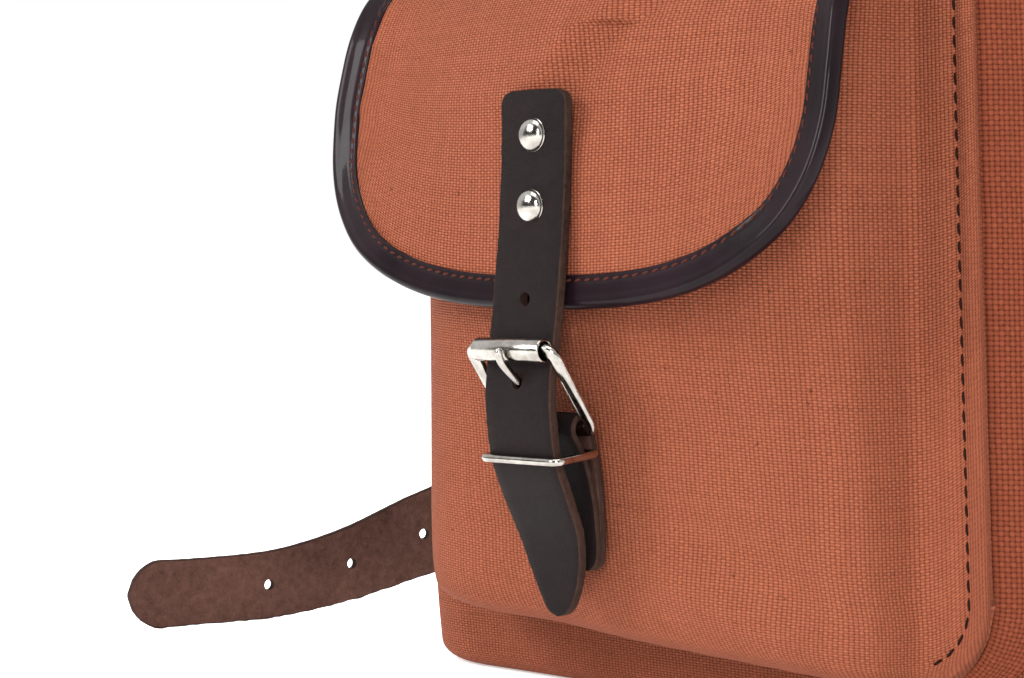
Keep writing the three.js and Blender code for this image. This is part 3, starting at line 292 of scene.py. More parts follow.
def canvas_material(name, light, dark, quarter_turn=False):
    """Plain-woven heavy cotton, its threads on the cloth map, which is in millimetres."""
    s = Shade(name, Specular_IOR_Level=0.12)
    u, v, _ = s.split(s.node("UVMap", {"uv_map": "cloth"}).outputs[0])
    if quarter_turn:
        u, v = v, u
    drift = s.noise(9.0) - 0.5
    wobble = s.noise(70.0) - 0.5
    a = (u + drift * 1.6 + wobble * 0.35) / WARP_PITCH
    b = (v + drift * 1.2 - wobble * 0.30) / PICK_PITCH
    i, j = s.maths("ROUND", a), s.maths("ROUND", b)
    fa, fb = a - i, b - j
    warp_tone, pick_tone = (s.number("Value", "TexWhiteNoise", {"noise_dimensions": "1D"}, {"W": w})
                            for w in (i, j + 371.5))
    slub = s.noise(1.0, at=s.join(i * 3.7, b * 0.11, 0.0))
    slub_pick = s.noise(1.0, at=s.join(a * 0.11, j * 3.7, 9.0))
    sign_i, sign_j, wave_a, wave_b = (s.maths("COSINE", q * math.pi) for q in (i, j, a, b))
    round_a = 1 - fa * fa * (4.6 - slub * 1.6)
    round_b = 1 - fb * fb * (4.6 - slub_pick * 1.6)
    warp = wave_b * sign_i * 0.5 + round_a * 0.5
    pick = 0 - wave_a * sign_j * 0.5 + round_b * 0.5
    height = s.maths("MAXIMUM", warp, pick)
    over = s.ramp(warp - pick, -0.10, 0.10)
    tone = over * (warp_tone * 0.4 + slub * 0.6) + (1 - over) * (pick_tone * 0.4 + slub_pick * 0.6)
    fuzz = s.noise(2300.0, 3.0, 0.7)
    clumps = s.noise(620.0, 2.0, 0.6)
    pits = s.ramp(height, 0.20, 0.80)
    patches = s.noise(14.0, 3.0, 0.6)
    value = pits * 0.40 + over * 0.10 + tone * 0.16 + fuzz * 0.26 + clumps * 0.16 + patches * 0.16
    colour = s.mix(s.ramp(value, 0.44, 0.98), dark, light)
    colour = s.mix(s.ramp(s.noise(5.0), 0.35, 0.7) * 0.12, colour, times(light, 1.5))
    colour = s.mix(s.ramp(s.noise(420.0, 1.0), 0.765, 0.80) * 0.5, colour, times(dark, 0.35))
    normal = s.bump(fuzz * 0.14 + clumps * 0.10 + height, 0.00050, 0.85)
    return s.finish(Base_Color=colour, Roughness=0.94 - pits * 0.10, Normal=normal)


def leather_material(name, base, lit):
    """Smooth dark hide with pores, fine wrinkles and a little rubbed wear."""
    s = Shade(name, Specular_IOR_Level=0.09)
    pebble = s.number("Distance", "TexVoronoi", {"feature": "DISTANCE_TO_EDGE"},
                      {"Vector": s.place, "Scale": 1250.0})
    cells = s.ramp(pebble, 0.0, 0.16)
    pores = s.ramp(s.noise(2400.0, 2.0, 0.6), 0.33, 0.5)
    creases = s.noise(260.0, 4.0, 0.62)
    wear = s.noise(55.0, 4.0, 0.6)
    colour = s.mix(s.ramp(wear * 0.6 + creases * 0.4, 0.36, 0.70), base, lit)
    colour = s.mix((1 - pores) * 0.5, colour, times(base, 0.45))
    normal = s.bump(cells * 0.5 + creases * 0.7 + pores * 0.35, 0.00022, 0.55)
    return s.finish(Base_Color=colour, Roughness=wear * 0.22 + 0.36 + (1 - cells) * 0.10, Normal=normal)


def raw_material(name, base, lit, scale=1.0):
    """Fibrous flesh side or cut edge of hide."""
    s = Shade(name, Specular_IOR_Level=0.08)
    fibres = s.noise(1500.0 * scale, 4.0, 0.75)
    tufts = s.noise(330.0 * scale, 4.0, 0.65)
    cloud = s.noise(28.0, 3.0, 0.55)
    colour = s.mix(s.ramp(fibres * 0.35 + tufts * 0.4 + cloud * 0.35, 0.36, 0.74), base, lit)
    normal = s.bump(fibres * 0.6 + tufts, 0.0006, 0.8)
    return s.finish(Base_Color=colour, Roughness=0.80 + fibres * 0.2, Normal=normal)


def binding_material():
    """Thin glossy hide, drawn round an edge, with fine wrinkles across it."""
    s = Shade("glossy_binding", Specular_IOR_Level=0.08, Coat_Roughness=0.07)
    wrinkle = s.noise(130.0, 4.0, 0.55)
    fine = s.noise(1300.0, 3.0, 0.6)
    smear = s.noise(40.0, 3.0, 0.5)
    colour = s.mix(s.ramp(smear, 0.35, 0.7), srgb(16, 8, 12), srgb(30, 17, 23))
    normal = s.bump(wrinkle + fine * 0.12, 0.0004, 0.5)
    return s.finish(Base_Color=colour, Roughness=smear * 0.16 + 0.30, Coat_Weight=0.06 + smear * 0.06,
                    Normal=normal)


def nickel_material():
    """Bright nickel plate with faint brushing and dulled spots."""
    s = Shade("nickel_plate", Metallic=1.0)
    x, y, z = s.split(s.place)
    brushed = s.noise(2600.0, 3.0, 0.6, at=s.join(x * 0.12, y, z))
    spots = s.noise(240.0, 4.0, 0.6)
    colour = s.mix(s.ramp(spots, 0.35, 0.72), srgb(150, 145, 138), srgb(188, 184, 178))
    normal = s.bump(brushed * 0.5 + spots, 0.00012, 0.35)
    return s.finish(Base_Color=colour, Roughness=spots * 0.16 + 0.08, Normal=normal)


def thread_material(name, base, lit):
    """Twisted waxed thread."""
    s = Shade(name, Specular_IOR_Level=0.08)
    ply = s.number("Fac", "TexWave", {"wave_type": "BANDS", "bands_direction": "DIAGONAL"},
                   {"Vector": s.place, "Scale": 900.0, "Distortion": 1.5})
    hairs = s.noise(1900.0, 3.0, 0.7)
    colour = s.mix(s.ramp(ply * 0.5 + hairs * 0.6, 0.3, 0.8), base, lit)
    return s.finish(Base_Color=colour, Roughness=0.55 + hairs * 0.25, Normal=s.bump(ply, 0.0002, 0.8))


canvas = canvas_material("canvas_weave", srgb(152, 86, 62), srgb(78, 31, 15))
# A darker copy of the canvas with its weave a quarter turn round. Its darker colour is painted shade for the sides,
# the base and the pocket's gusset, which turn away from the lights
canvas_turned_shaded = canvas_material("canvas_weave_turned_shaded", srgb(128, 64, 42), srgb(64, 23, 11), quarter_turn=True)
hide = leather_material("dark_hide", srgb(16, 9, 9), srgb(27, 18, 17))
hide_edge = raw_material("hide_cut_edge", srgb(28, 18, 14), srgb(70, 50, 43), 1.4)
hide_flesh = raw_material("hide_flesh_side", srgb(49, 31, 25), srgb(99, 70, 61))
glossy = binding_material()
nickel = nickel_material()
thread = thread_material("brown_thread", srgb(22, 7, 5), srgb(46, 19, 13))
red_thread = thread_material("russet_thread", srgb(44, 18, 14), srgb(92, 48, 38))


# Mesh building

def new_mesh(name, points, faces, materials, tags=None, uvs=None):
    """A mesh from millimetre points, its faces turned outwards."""
    mesh = bpy.data.meshes.new(name)
    points = np.asarray(points, float) + [0, SHIFT_Y, 0]
    mesh.from_pydata((points / 1000).tolist(), [], [list(map(int, f)) for f in faces])
    if tags is not None:
        mesh.polygons.foreach_set("material_index", np.asarray(tags, np.int32))
    for material in materials:
        mesh.materials.append(material)
    if uvs is not None:
        layer = mesh.uv_layers.new(name="cloth")
        index = np.zeros(len(mesh.loops), np.int64)
        mesh.loops.foreach_get("vertex_index", index)
        layer.data.foreach_set("uv", np.asarray(uvs, np.float32)[index].reshape(-1))
    made = bmesh.new()
    made.from_mesh(mesh)
    if made.calc_volume(signed=True) < 0:
        bmesh.ops.reverse_faces(made, faces=made.faces)
    made.to_mesh(mesh)
    made.free()
    return mesh


def smooth(mesh, sharp):
    mesh.shade_smooth()
    mesh.set_sharp_from_angle(angle=math.radians(sharp))


def in_scene(name, data):
    made = bpy.data.objects.new(name, data)
    bpy.context.scene.collection.objects.link(made)
    return made


def finish_piece(name, node, slot, points, faces, materials, tags=None, uvs=None, sharp=SHARP):
    """Makes one smooth piece from millimetre points, and puts it in place of its solid."""
    mesh = new_mesh(name, points, faces, materials, tags, uvs)
    smooth(mesh, sharp)
    piece = in_scene(name, mesh)
    if node:
        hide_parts(node)
    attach(piece, "root")
    return piece


def grid_normals(rows):
    return unit(np.cross(np.gradient(rows, axis=1), np.gradient(rows, axis=0)))


def face_normals(rows, normals, front, face):
    """Normals of the lowest rows, taken from the surface itself, where the grid's corners are too narrow."""
    x, z = rows[:front, :, 0], rows[:front, :, 2]
    step = 0.5
    lean = (face(x + step, z) - face(x - step, z)) / step / 2
    tilt = (face(x, z + step) - face(x, z - step)) / step / 2
    normals = normals.copy()
    normals[:front] = unit(np.stack([lean, -np.ones_like(x), tilt], -1))
    return normals


def cloth_piece(node, rows, normals=None, row=None, outer=0, inner=CANVAS, slot="canvas", material=None):
    """Solid wall from a grid of points. Its map is in millimetres along one row and one column, the same for
    the whole sheet, as the loom lays threads."""
    n, m = rows.shape[:2]
    normals = grid_normals(rows) if normals is None else normals
    points = np.vstack([(rows + normals * outer).reshape(-1, 3), (rows - normals * inner).reshape(-1, 3)])
    at = np.arange(n * m).reshape(n, m)
    a, b, c, d = (q.reshape(-1) for q in (at[:-1, :-1], at[:-1, 1:], at[1:, 1:], at[1:, :-1]))
    rim = np.concatenate([at[0, :-1], at[:-1, -1], at[-1, :0:-1], at[:0:-1, 0]])
    after = np.roll(rim, -1)
    faces = np.vstack([np.stack([a, b, c, d], 1), np.stack([a, d, c, b], 1) + n * m,
                       np.stack([rim, rim + n * m, after + n * m, after], 1)])
    uv = np.stack(np.meshgrid(lengths(rows[n // 2 if row is None else row]), lengths(rows[:, m // 2])), -1)
    finish_piece(node + "_cloth", node, slot, points, faces, [material or canvas],
                 uvs=np.vstack([uv.reshape(-1, 2)] * 2))


def ring_faces(rings, count, start=0, closed=False):
    """Quads between rings of points that follow each other. Open ends get a face of their own."""
    at = start + np.arange(rings * count).reshape(rings, count)
    after = np.roll(at, -1, axis=1)
    if closed:
        corners = at, after, np.roll(after, -1, axis=0), np.roll(at, -1, axis=0)
    else:
        corners = at[:-1], after[:-1], after[1:], at[1:]
    faces = np.stack(corners, -1).reshape(-1, 4).tolist()
    return faces if closed else faces + [at[0][::-1].tolist(), at[-1].tolist()]


def swept(places, sides, rises, section, closed=False):
    """Closed solid from a section (side, rise) carried along a line. It may have a section for each place."""
    section = np.asarray(section, float)
    if section.ndim == 2:
        section = np.repeat(section[None], len(places), 0)
    points = places[:, None] + sides[:, None] * section[..., :1] + rises[:, None] * section[..., 1:2]
    return points.reshape(-1, 3), ring_faces(*points.shape[:2], closed=closed)


def round_turns(count):
    return np.linspace(0, 2 * np.pi, count, endpoint=False)


def ring_section(radius, sides):
    turn = round_turns(sides)
    return np.stack([radius * np.cos(turn), radius * np.sin(turn)], 1)


def heading(line):
    return unit(np.gradient(line, axis=0))


def cut_holes(piece, seat, tools):
    """Cuts tool solids (points, faces in a seat's frame) out of a piece."""
    for points, faces in tools:
        tool = in_scene("tool", new_mesh("tool", seat.points(points), faces, [hide_edge]))
        cutter = piece.modifiers.new("hole", "BOOLEAN")
        cutter.operation, cutter.solver, cutter.material_mode = "DIFFERENCE", "EXACT", "TRANSFER"
        cutter.object = tool
        bpy.context.view_layer.update()
        result = bpy.data.meshes.new_from_object(piece.evaluated_get(bpy.context.evaluated_depsgraph_get()))
        piece.modifiers.clear()
        piece.data = result
        bpy.data.objects.remove(tool)
    smooth(piece.data, SHARP)


def rod(place, direction, radius, length):
    """A punch: a straight round rod, centred on a place."""
    direction = unit(np.asarray(direction, float))
    side = unit(np.array([1.0, 0, 0]) - direction * direction[0])
    places = np.array([place - direction * length / 2, place + direction * length / 2])
    return swept(places, np.tile(side, (2, 1)), np.tile(np.cross(direction, side), (2, 1)),
                 ring_section(radius, 20))


# The main bag

def body_size(z):
    z = np.asarray(z, float)
    up = np.clip(z / BODY_HEIGHT, 0, 1)
    low_z = np.clip(z, 0, BODY_FOOT)
    tuck = BODY_FOOT - np.sqrt(BODY_FOOT ** 2 - (BODY_FOOT - low_z) ** 2)
    return (BODY_WIDTH / 2 * BODY.read(up, "wide") - tuck, BODY_DEPTH / 2 * BODY.read(up, "deep") - tuck,
            BODY.read(up, "bulge"))


def face_depth(x, z, size):
    half_w, half_d, bulge = body_size(z)
    flat = half_w - BODY_CORNER
    past = np.clip(np.abs(x) - flat, 0, BODY_CORNER)
    dome = size * bulge * np.cos(np.minimum(np.abs(x) / flat, 1) * np.pi / 2) ** 2
    return half_d + dome - BODY_CORNER + np.sqrt(BODY_CORNER ** 2 - past ** 2)


def front_face(x, z):
    return -face_depth(x, z, FRONT_BULGE)


def back_face(x, z):
    return face_depth(x, z, BACK_BULGE)


def ripples(x, z, size, seed):
    """Slow uneven waves of standing cloth, the same each run."""
    rng = np.random.default_rng(seed)
    total = np.zeros(np.broadcast(x, z).shape)
    for _ in range(7):
        kx, kz = rng.uniform(-0.045, 0.045), rng.uniform(-0.045, 0.045)
        total = total + np.sin(kx * x + kz * z + rng.uniform(0, 6.28)) * rng.uniform(0.3, 1)
    return size * total / 3.5


BODY_LEVELS = np.concatenate([BODY_FOOT * (1 - np.cos(np.linspace(0, np.pi / 2, 9))),
                              np.linspace(BODY_FOOT, BODY_HEIGHT, 110)[1:]])


def body_panel(name, face, mirror, seed):
    rows = []
    share = np.linspace(-1, 1, 101)
    for z in BODY_LEVELS:
        edge = float(body_size(z)[0]) - BODY_CORNER + BODY_CORNER * np.sin(np.pi / 4) - 2 * SEAT_GAP
        x = edge * np.sin(share * np.pi / 2) * 0.35 + edge * share * 0.65
        calm = np.clip(z / 40, 0, 1) * (1 - share ** 4)
        rows.append(np.stack([mirror * x, face(x, z) + ripples(x, z, 0.8, seed) * calm, np.full_like(x, z)], 1))
    cloth_piece(name, np.array(rows))


def body_side(name, side, seed):
    rows = []
    for z in BODY_LEVELS:
        half_w, half_d, _ = (float(q) for q in body_size(z))
        flat, straight = half_w - BODY_CORNER, half_d - BODY_CORNER
        hollow = SIDE_HOLLOW * math.sin(math.pi * min(z / BODY_HEIGHT, 1))
        turn = np.linspace(np.pi / 4 + SEAT_GAP / BODY_CORNER, np.pi / 2, 12)
        x = flat + BODY_CORNER * np.sin(turn)
        y = -straight - BODY_CORNER * np.cos(turn)
        middle = np.linspace(-straight, straight, 22)[1:-1]
        x = np.concatenate([x, half_w - hollow * np.cos(middle / max(straight, 1) * np.pi / 2), x[::-1]])
        y = np.concatenate([y, middle, -y[::-1]])
        rows.append(np.stack([side * x, side * y, np.full_like(x, z)], 1))
    rows = np.array(rows)
    y, z = rows[..., 1], rows[..., 2]
    rows[..., 0] -= side * np.abs(ripples(y * 2, z, 1.2, seed)) * np.clip(z / 40, 0, 1) * (np.abs(y) < 40)
    # The sides take the darker canvas copy, which has painted shade in its colour
    cloth_piece(name, rows, material=canvas_turned_shaded)


def body_base():
    """The bottom, in rings from the middle of its underside round to the middle of its top."""
    inset, wall, per_corner = 1.0, 2.5, 12
    half_w, half_d, _ = (float(q) for q in body_size(0))
    w, d, r = half_w - inset, half_d - inset, BODY_CORNER - inset
    line = []
    for cx, cy, start in ((w - r, -d + r, -90), (w - r, d - r, 0), (-w + r, d - r, 90), (-w + r, -d + r, 180)):
        for turn in np.radians(np.linspace(start, start + 90, per_corner)):
            line.append((cx + r * math.cos(turn), cy + r * math.sin(turn), 0))
    shares = [0.02, 0.3, 0.6, 0.85, 1]
    rings = [np.array(line) * k for k in shares] + [np.array(line) * k + [0, 0, wall] for k in shares[::-1]]
    points = np.vstack(rings)
    # The bottom takes the darker canvas copy, which has painted shade in its colour
    finish_piece("body_base_cloth", "body_base", "canvas", points, ring_faces(len(rings), len(line)),
                 [canvas_turned_shaded], uvs=points[:, :2] + 200)


# The front pocket

POCKET_Y = float(front_face(0, POCKET_TOP / 2)) - POCKET_SEAM + FRONT_BULGE


def pocket_edge(x):
    past = np.clip(np.abs(x) - POCKET_HALF + POCKET_CORNER, 0, POCKET_CORNER)
    return POCKET_BOTTOM + POCKET_CORNER - np.sqrt(POCKET_CORNER ** 2 - past ** 2)


def hung(x, z):
    """The full pocket hangs lower on its right-hand side, and wider towards the bottom there."""
    down = (POCKET_TOP - z) / (POCKET_TOP - POCKET_BOTTOM)
    share = x / POCKET_HALF
    across = x + 6.5 * down * np.maximum(share, 0) ** 2 + 3.4 * np.maximum(-share, 0) ** 8
    return across, z - POCKET_TILT * down * share


def pocket_inset(x, z):
    """How far a place lies inside the pocket's rounded outline."""
    over = np.abs(x) - (POCKET_HALF - POCKET_CORNER)
    below = POCKET_BOTTOM + POCKET_CORNER - z
    return POCKET_CORNER - np.where((over > 0) & (below > 0), np.hypot(over, below), np.maximum(over, below))


def fold(x, z, x0, z0, x1, z1, wide, taper=12.0):
    """A soft fold of unit height along a line, fading at its ends."""
    length = math.hypot(x1 - x0, z1 - z0)
    ux, uz = (x1 - x0) / length, (z1 - z0) / length
    along = (x - x0) * ux + (z - z0) * uz
    off = (x - x0) * uz - (z - z0) * ux
    ends = 1 / (1 + np.exp(-along / taper * 4)) / (1 + np.exp((along - length) / taper * 4))
    return np.exp(-(off / wide) ** 2) * ends


def pocket_y(x, z):
    share = x / POCKET_HALF
    low_z = pocket_edge(x)
    reach = PLAN.read(share, "out")
    up = (z - low_z) / (POCKET_TOP - low_z)
    left = np.clip((-share - 0.2) / 0.45, 0, 1)
    left = left * left * (3 - 2 * left)
    y = POCKET_Y - POCKET_FACE * reach * (PROFILE.read(up, "out") * (1 - left) + PROFILE.read(up, "left") * left)
    inset = pocket_inset(x, z)
    flange = (np.abs(share) > 0.82) * 1.0
    y = y - flange * (1.0 * np.exp(-((inset - 2.6) / 1.9) ** 2) - 0.7 * np.exp(-((inset - 6.3) / 1.1) ** 2))
    y = y + ripples(x, z, 0.8, 11) * np.clip(reach * 3, 0, 1)
    y = y + 2.2 * fold(x, z, 30, 62, 84, 34, 8) - 1.8 * fold(x, z, 22, 44, 70, 26, 7)
    y = y + 1.4 * fold(x, z, 66, 150, 74, 60, 6, 30) - 1.2 * fold(x, z, 56, 190, 60, 70, 7, 30)
    y = y + 1.2 * fold(x, z, -20, 60, -62, 40, 8) + 0.9 * fold(x, z, 8, 96, 44, 84, 9)
    return y


def pocket_rows():
    x = POCKET_HALF * stretches((-1, -0.9, 14), (-0.9, 0.70, 84), (0.70, 0.9, 34), (0.9, 1, 24))
    low_z = pocket_edge(x)
    rows = []
    for up in stretches((0, 0.06, 14), (0.06, 1, 100)):
        z = low_z + up * (POCKET_TOP - low_z)
        across, height = hung(x, z)
        rows.append(np.stack([across, pocket_y(x, z), height], 1))
    return np.array(rows)


def pocket_seam():
    """The stitches along both sides of the pocket and round its lower corners."""
    inset = 6.3
    centre, radius = POCKET_BOTTOM + POCKET_CORNER, POCKET_CORNER - inset
    straight = np.linspace(POCKET_TOP - 1, centre, 120)[:-1]
    turn = np.linspace(0, math.radians(72), 40)
    x = np.concatenate([np.full(len(straight), POCKET_HALF - inset),
                        POCKET_HALF - POCKET_CORNER + radius * np.cos(turn)])
    z = np.concatenate([straight, centre - radius * np.sin(turn)])
    for name, side in (("right", 1), ("left", -1)):
        across, height = hung(side * x, z)
        path = np.stack([across, pocket_y(side * x, z) - 0.12, height], 1)
        stitches(f"pocket_stitches_{name}", path, np.tile([0.0, -1.0, 0.0], (len(path), 1)),
                 5.0, 4.2, "dark_leather", 0.14, thread)


def pocket_outline():
    side = POCKET_HALF - POCKET_CORNER
    centre = POCKET_BOTTOM + POCKET_CORNER
    line = [(-POCKET_HALF, z, 0.0) for z in np.linspace(POCKET_TOP, centre, 60)[:-1]]
    for turn in np.linspace(0, np.pi / 2, 22):
        line.append((-side - POCKET_CORNER * math.cos(turn), centre - POCKET_CORNER * math.sin(turn), turn))
    line += [(x, POCKET_BOTTOM, np.pi / 2) for x in np.linspace(-side, 0, 34)[1:]]
    return np.array(line + [(-x, z, np.pi - turn) for x, z, turn in line[:-1][::-1]])


def pocket_gusset():
    lip = POCKET_Y + CANVAS + SEAT_GAP + CANVAS / 2
    rows = []
    for x, z, turn in pocket_outline():
        flare = POCKET_FLARE * (1 - 0.75 * math.sin(turn))
        outs = [-POCKET_LIP, -1, 0.16 * flare, 0.6 * flare, flare, flare - CANVAS, flare - POCKET_FOOT]
        spots = [hung(x - math.cos(turn) * out, z - math.sin(turn) * out) for out in outs]
        seats = [float(front_face(*spot)) - SEAT_GAP - CANVAS / 2 for spot in spots]
        depth = seats[4] - lip
        ys = [lip, lip, lip + 0.12 * depth, lip + 0.5 * depth, lip + 0.88 * depth, seats[5], seats[6]]
        line = np.array([[across, y, height] for (across, height), y in zip(spots, ys)])
        fine = [line[0] * (1 - t) + line[1] * t for t in np.linspace(0, 1, 4)[:-1]]
        bend = spline(line[1:], 1.0)
        pick = np.linspace(0, len(bend) - 1, 22)
        rows.append(np.vstack([fine, np.stack([np.interp(pick, np.arange(len(bend)), q) for q in bend.T], 1)]))
    # The gusset takes the darker canvas copy, which has painted shade in its colour
    cloth_piece("pocket_gusset", np.array(rows), outer=CANVAS / 2, inner=CANVAS / 2, slot="canvas_shade",
                material=canvas_turned_shaded)


# The pocket's flap

FLAP_Y = float(front_face(0, FLAP_SEAM)) + FRONT_BULGE - FLAP_DEPTH


def flap_low(x):
    share = np.minimum(np.abs(x) / FLAP_HALF, 1)
    full = np.where(np.asarray(x) < 0, FLAP_FULL_LEFT, FLAP_FULL_RIGHT)
    return FLAP_SHOULDER - FLAP_DROP * np.maximum(1 - share ** full, 0) ** (1 / full)


def flap_across(x, z):
    """The flap narrows and leans a little to the left towards its seam."""
    up = np.clip((z - FLAP_LEAN_FROM) / (FLAP_SEAM - FLAP_LEAN_FROM), 0, 1)
    return x * (1 - FLAP_TAPER * up) - FLAP_LEAN * up - FLAP_SHIFT


def flap_face(x, z):
    up = (z - FLAP_SHOULDER + FLAP_DROP) / (FLAP_DROP + EDGE_STRAIGHT)
    back = FLAP_FALL.read(up, "curve") * FLAP_PLAN.read(x / FLAP_HALF, "back")
    return FLAP_Y + FLAP_DEPTH * (back + FLAP_FALL.read(up, "fall"))


def flap_crease(x, z):
    """The diagonal fold that runs up from the top of the strap."""
    along = ((x + 1) * 19 + (z - 179) * 23) / math.hypot(19, 23)
    off = ((x + 1) * 23 - (z - 179) * 19) / math.hypot(19, 23)
    reach = 1 / (1 + np.exp(-(along + 1) / 3.5))
    ridge = np.where(off < 0, -2.6 * np.exp(np.minimum(off, 0) / 14), 0)
    fall = np.where(off < 0, 0, -2.6 + 6.0 * np.clip(off / 11, 0, 1))
    away = np.where(off > 11, 3.4 * (np.exp(-np.maximum(off - 11, 0) / 20) - 1), 0)
    return reach * (ridge + fall + away)


def flap_waves(x, z):
    return (flap_crease(x, z) + ripples(x, z, 0.5, 5)) * np.clip((FLAP_SEAM - z) / 20, 0, 1)


def flap_surface(x, z):
    return flap_face(x, z) + flap_waves(x, z)


def flap_rows():
    columns = FLAP_HALF * np.sin(np.linspace(-np.pi / 2, np.pi / 2, 111))
    start = FLAP_SHOULDER + EDGE_STRAIGHT
    knots = FLAP_ROWS + [(1, EDGE_STRAIGHT / (FLAP_SEAM - FLAP_SHOULDER))]
    rows = []
    for _, out, up in spline([(0, out * 1.5, up) for out, up in knots], 0.02):
        z = FLAP_SHOULDER + up * (FLAP_SEAM - FLAP_SHOULDER)
        across = flap_across(columns, z)
        base = front_face(across, FLAP_SEAM) - SEAT_GAP - CANVAS
        y = base + (flap_face(columns, start) - base) * out / 1.5
        rows.append(np.stack([across, y + flap_waves(across, z), np.full_like(columns, z)], 1))
    for share in np.linspace(0, 1, 64)[1:]:
        z = start + share * (flap_low(columns) - start)
        rows.append(np.stack([flap_across(columns, z), flap_surface(columns, z), z], 1))
    return np.array(rows)[::-1]


def binding(node, rows, normals, seam_rows, stitch_name):
    """Thin hide folded over a cloth edge, with a line of stitches on its face and on its back."""
    n, m = rows.shape[:2]
    border = [(i, 0) for i in range(n - seam_rows, 0, -1)] + [(0, j) for j in range(m)]
    border += [(i, m - 1) for i in range(1, n - seam_rows + 1)]
    index = tuple(np.array(border).T)
    line = respace(np.hstack([rows[index] - normals[index] * CANVAS / 2, normals[index]]), 1.6)
    place, rise = line[:, :3], unit(line[:, 3:])
    for _ in range(24):
        rise[1:-1] = unit(rise[:-2] + rise[2:] + 2 * rise[1:-1])
        place[1:-1] = (place[:-2] + place[2:] + 6 * place[1:-1]) / 8
    travel = heading(place)
    side = unit(np.cross(rise, travel))
    rise = unit(np.cross(travel, side))
    half = CANVAS / 2 + BINDING_GAP
    full, roll = half + BINDING_WALL, BINDING_GAP + BINDING_WALL
    edge = BINDING_WIDTH - BINDING_WALL - BINDING_GAP
    bead = [(-0.2 + (roll + 0.5) * math.cos(q), (full + 0.45) * math.sin(q))
            for q in np.linspace(np.pi / 2, 3 * np.pi / 2, 11)]
    face = [(edge, full - 0.75), (edge - 0.35, full - 0.35), (edge - 0.9, full - 0.2), (edge - 1.5, full - 0.4),
            (edge - 2.1, full - 0.15), (edge * 0.55, full + 0.05), (edge * 0.33, full + 0.02),
            (1.5, full + 0.2), (0.6, full + 0.4)]
    section = [(edge, -full + 0.75), (edge, -half), (-BINDING_GAP, -half + 0.2), (-BINDING_GAP, half - 0.2),
               (edge, half)] + face + bead + [(s, -r) for s, r in face[:0:-1]]
    finish_piece(node + "_hide", node, "binding_leather", *swept(place, side, rise, section), [glossy], sharp=60)
    for name, up in ((stitch_name, rise), (stitch_name + "_back", -rise)):
        stitches(name, place + side * (edge - 1.5) + up * (full - 0.40), up, 3.4, 2.9, "binding_leather", 0.30,
                 red_thread)


def stitches(name, line, normals, pitch, length, slot, slant, material):
    """A row of thread stitches sunk at both ends, along a line on a surface."""
    radius, spacing, around = 0.42, 0.25, 6
    path = respace(np.hstack([line, normals]), spacing)
    place, normal = path[:, :3], unit(path[:, 3:])
    step, half = int(round(pitch / spacing)), max(int(round(length / spacing / 2)), 2)
    arch = np.array([-0.9, -0.05, 0.35, 0.35, -0.05, -0.9])[:, None] * radius
    thick = np.array([0.45, 0.9, 1, 1, 0.9, 0.45])[:, None, None] * radius
    turn = round_turns(around)[:, None]
    points, faces = [], []
    for k in range(step, len(place) - step, step):
        spots = np.linspace(k - half, k + half, len(arch))
        mid = np.stack([np.interp(spots, np.arange(len(place)), q) for q in place.T], 1)
        up = unit(normal[k])
        side = unit(np.cross(up, unit(mid[-1] - mid[0])))
        mid = mid + side * np.linspace(-slant, slant, len(arch))[:, None] + up * arch
        faces += ring_faces(len(arch), around, len(points))
        points.extend((mid[:, None] + thick * (up * 0.8 * np.sin(turn) + side * np.cos(turn))).reshape(-1, 3))
    finish_piece(name, None, slot, points, faces, [material], sharp=80)


# The lid

LID_Y = float(front_face(0, LID_FRONT)) - LID_STAND


def lid_low(x):
    return LID_FRONT + LID_DROP * (1 - np.sqrt(np.maximum(1 - (x / LID_HALF) ** 2, 0)))


def lid_face(x):
    return LID_Y + LID_SWEEP * (x / LID_HALF) ** 2


def lid_back(x, along):
    flat = BODY_WIDTH / 2 - BODY_CORNER
    lean = min(along - LID_ROWS[0][0], 0) * BODY_DEPTH
    return back_face(np.minimum(np.abs(x), flat), LID_BACK) + CANVAS + SEAT_GAP + lean


def lid_rows():
    share = np.sin(np.linspace(-np.pi / 2, np.pi / 2, 91))
    key = []
    for k, (along, up, droop, wide) in enumerate(LID_ROWS):
        x = share * LID_HALF * wide
        z = LID_BACK + up * (LID_TOP - LID_BACK) - droop * LID_DROOP * np.abs(share) ** 3
        y = lid_back(x, along) if k < 3 else np.maximum(along * BODY_DEPTH, lid_face(x))
        key.append(np.stack([x, y * np.ones_like(x), z], 1))
    start = LID_FRONT + LID_DROP + EDGE_STRAIGHT
    x = share * LID_HALF
    for down in (0, 0.5, 1):
        key.append(np.stack([x, lid_face(x), start + down * (lid_low(x) - start)], 1))
    key = np.array(key)
    at = np.linspace(0, 1, 110)
    columns = []
    for column in np.swapaxes(key, 0, 1):
        c = spline(column, 0.5)
        columns.append(np.stack([np.interp(at, np.linspace(0, 1, len(c)), q) for q in c.T], 1))
    rows = np.stack(columns, 1)[::-1]
    rows[..., 2] += ripples(rows[..., 0], rows[..., 1], 0.8, 21) * (np.abs(rows[..., 1]) < 50)
    return rows


# Straps, buckles and rivets, in a frame of their own: x across, -y out of the cloth, z up from the roller

class Seat:
    """Where a closure's own frame stands on the bag."""

    def __init__(self, origin=(0, 0, 0), axes=((1, 0, 0), (0, 1, 0), (0, 0, 1)), mirror=1):
        self.origin, self.axes, self.mirror = np.array(origin, float), np.array(axes, float), mirror

    def points(self, local):
        return (np.asarray(local, float) @ self.axes + self.origin) * np.array([self.mirror, 1, 1])


def upright_seat(x, y, z, turn=0.0):
    c, s = math.cos(math.radians(turn)), math.sin(math.radians(turn))
    return Seat((x, y, z), ((c, s, 0), (-s, c, 0), (0, 0, 1)))


class Buckle:
    def __init__(self, width, roller, bar):
        self.width, self.roller, self.bar = width, roller, bar
        self.bar_up = -math.sqrt(FRAME_LENGTH ** 2 - (roller - bar) ** 2)
        self.pass_out = roller - ROLLER / 2 - SEAT_GAP - LEATHER / 2


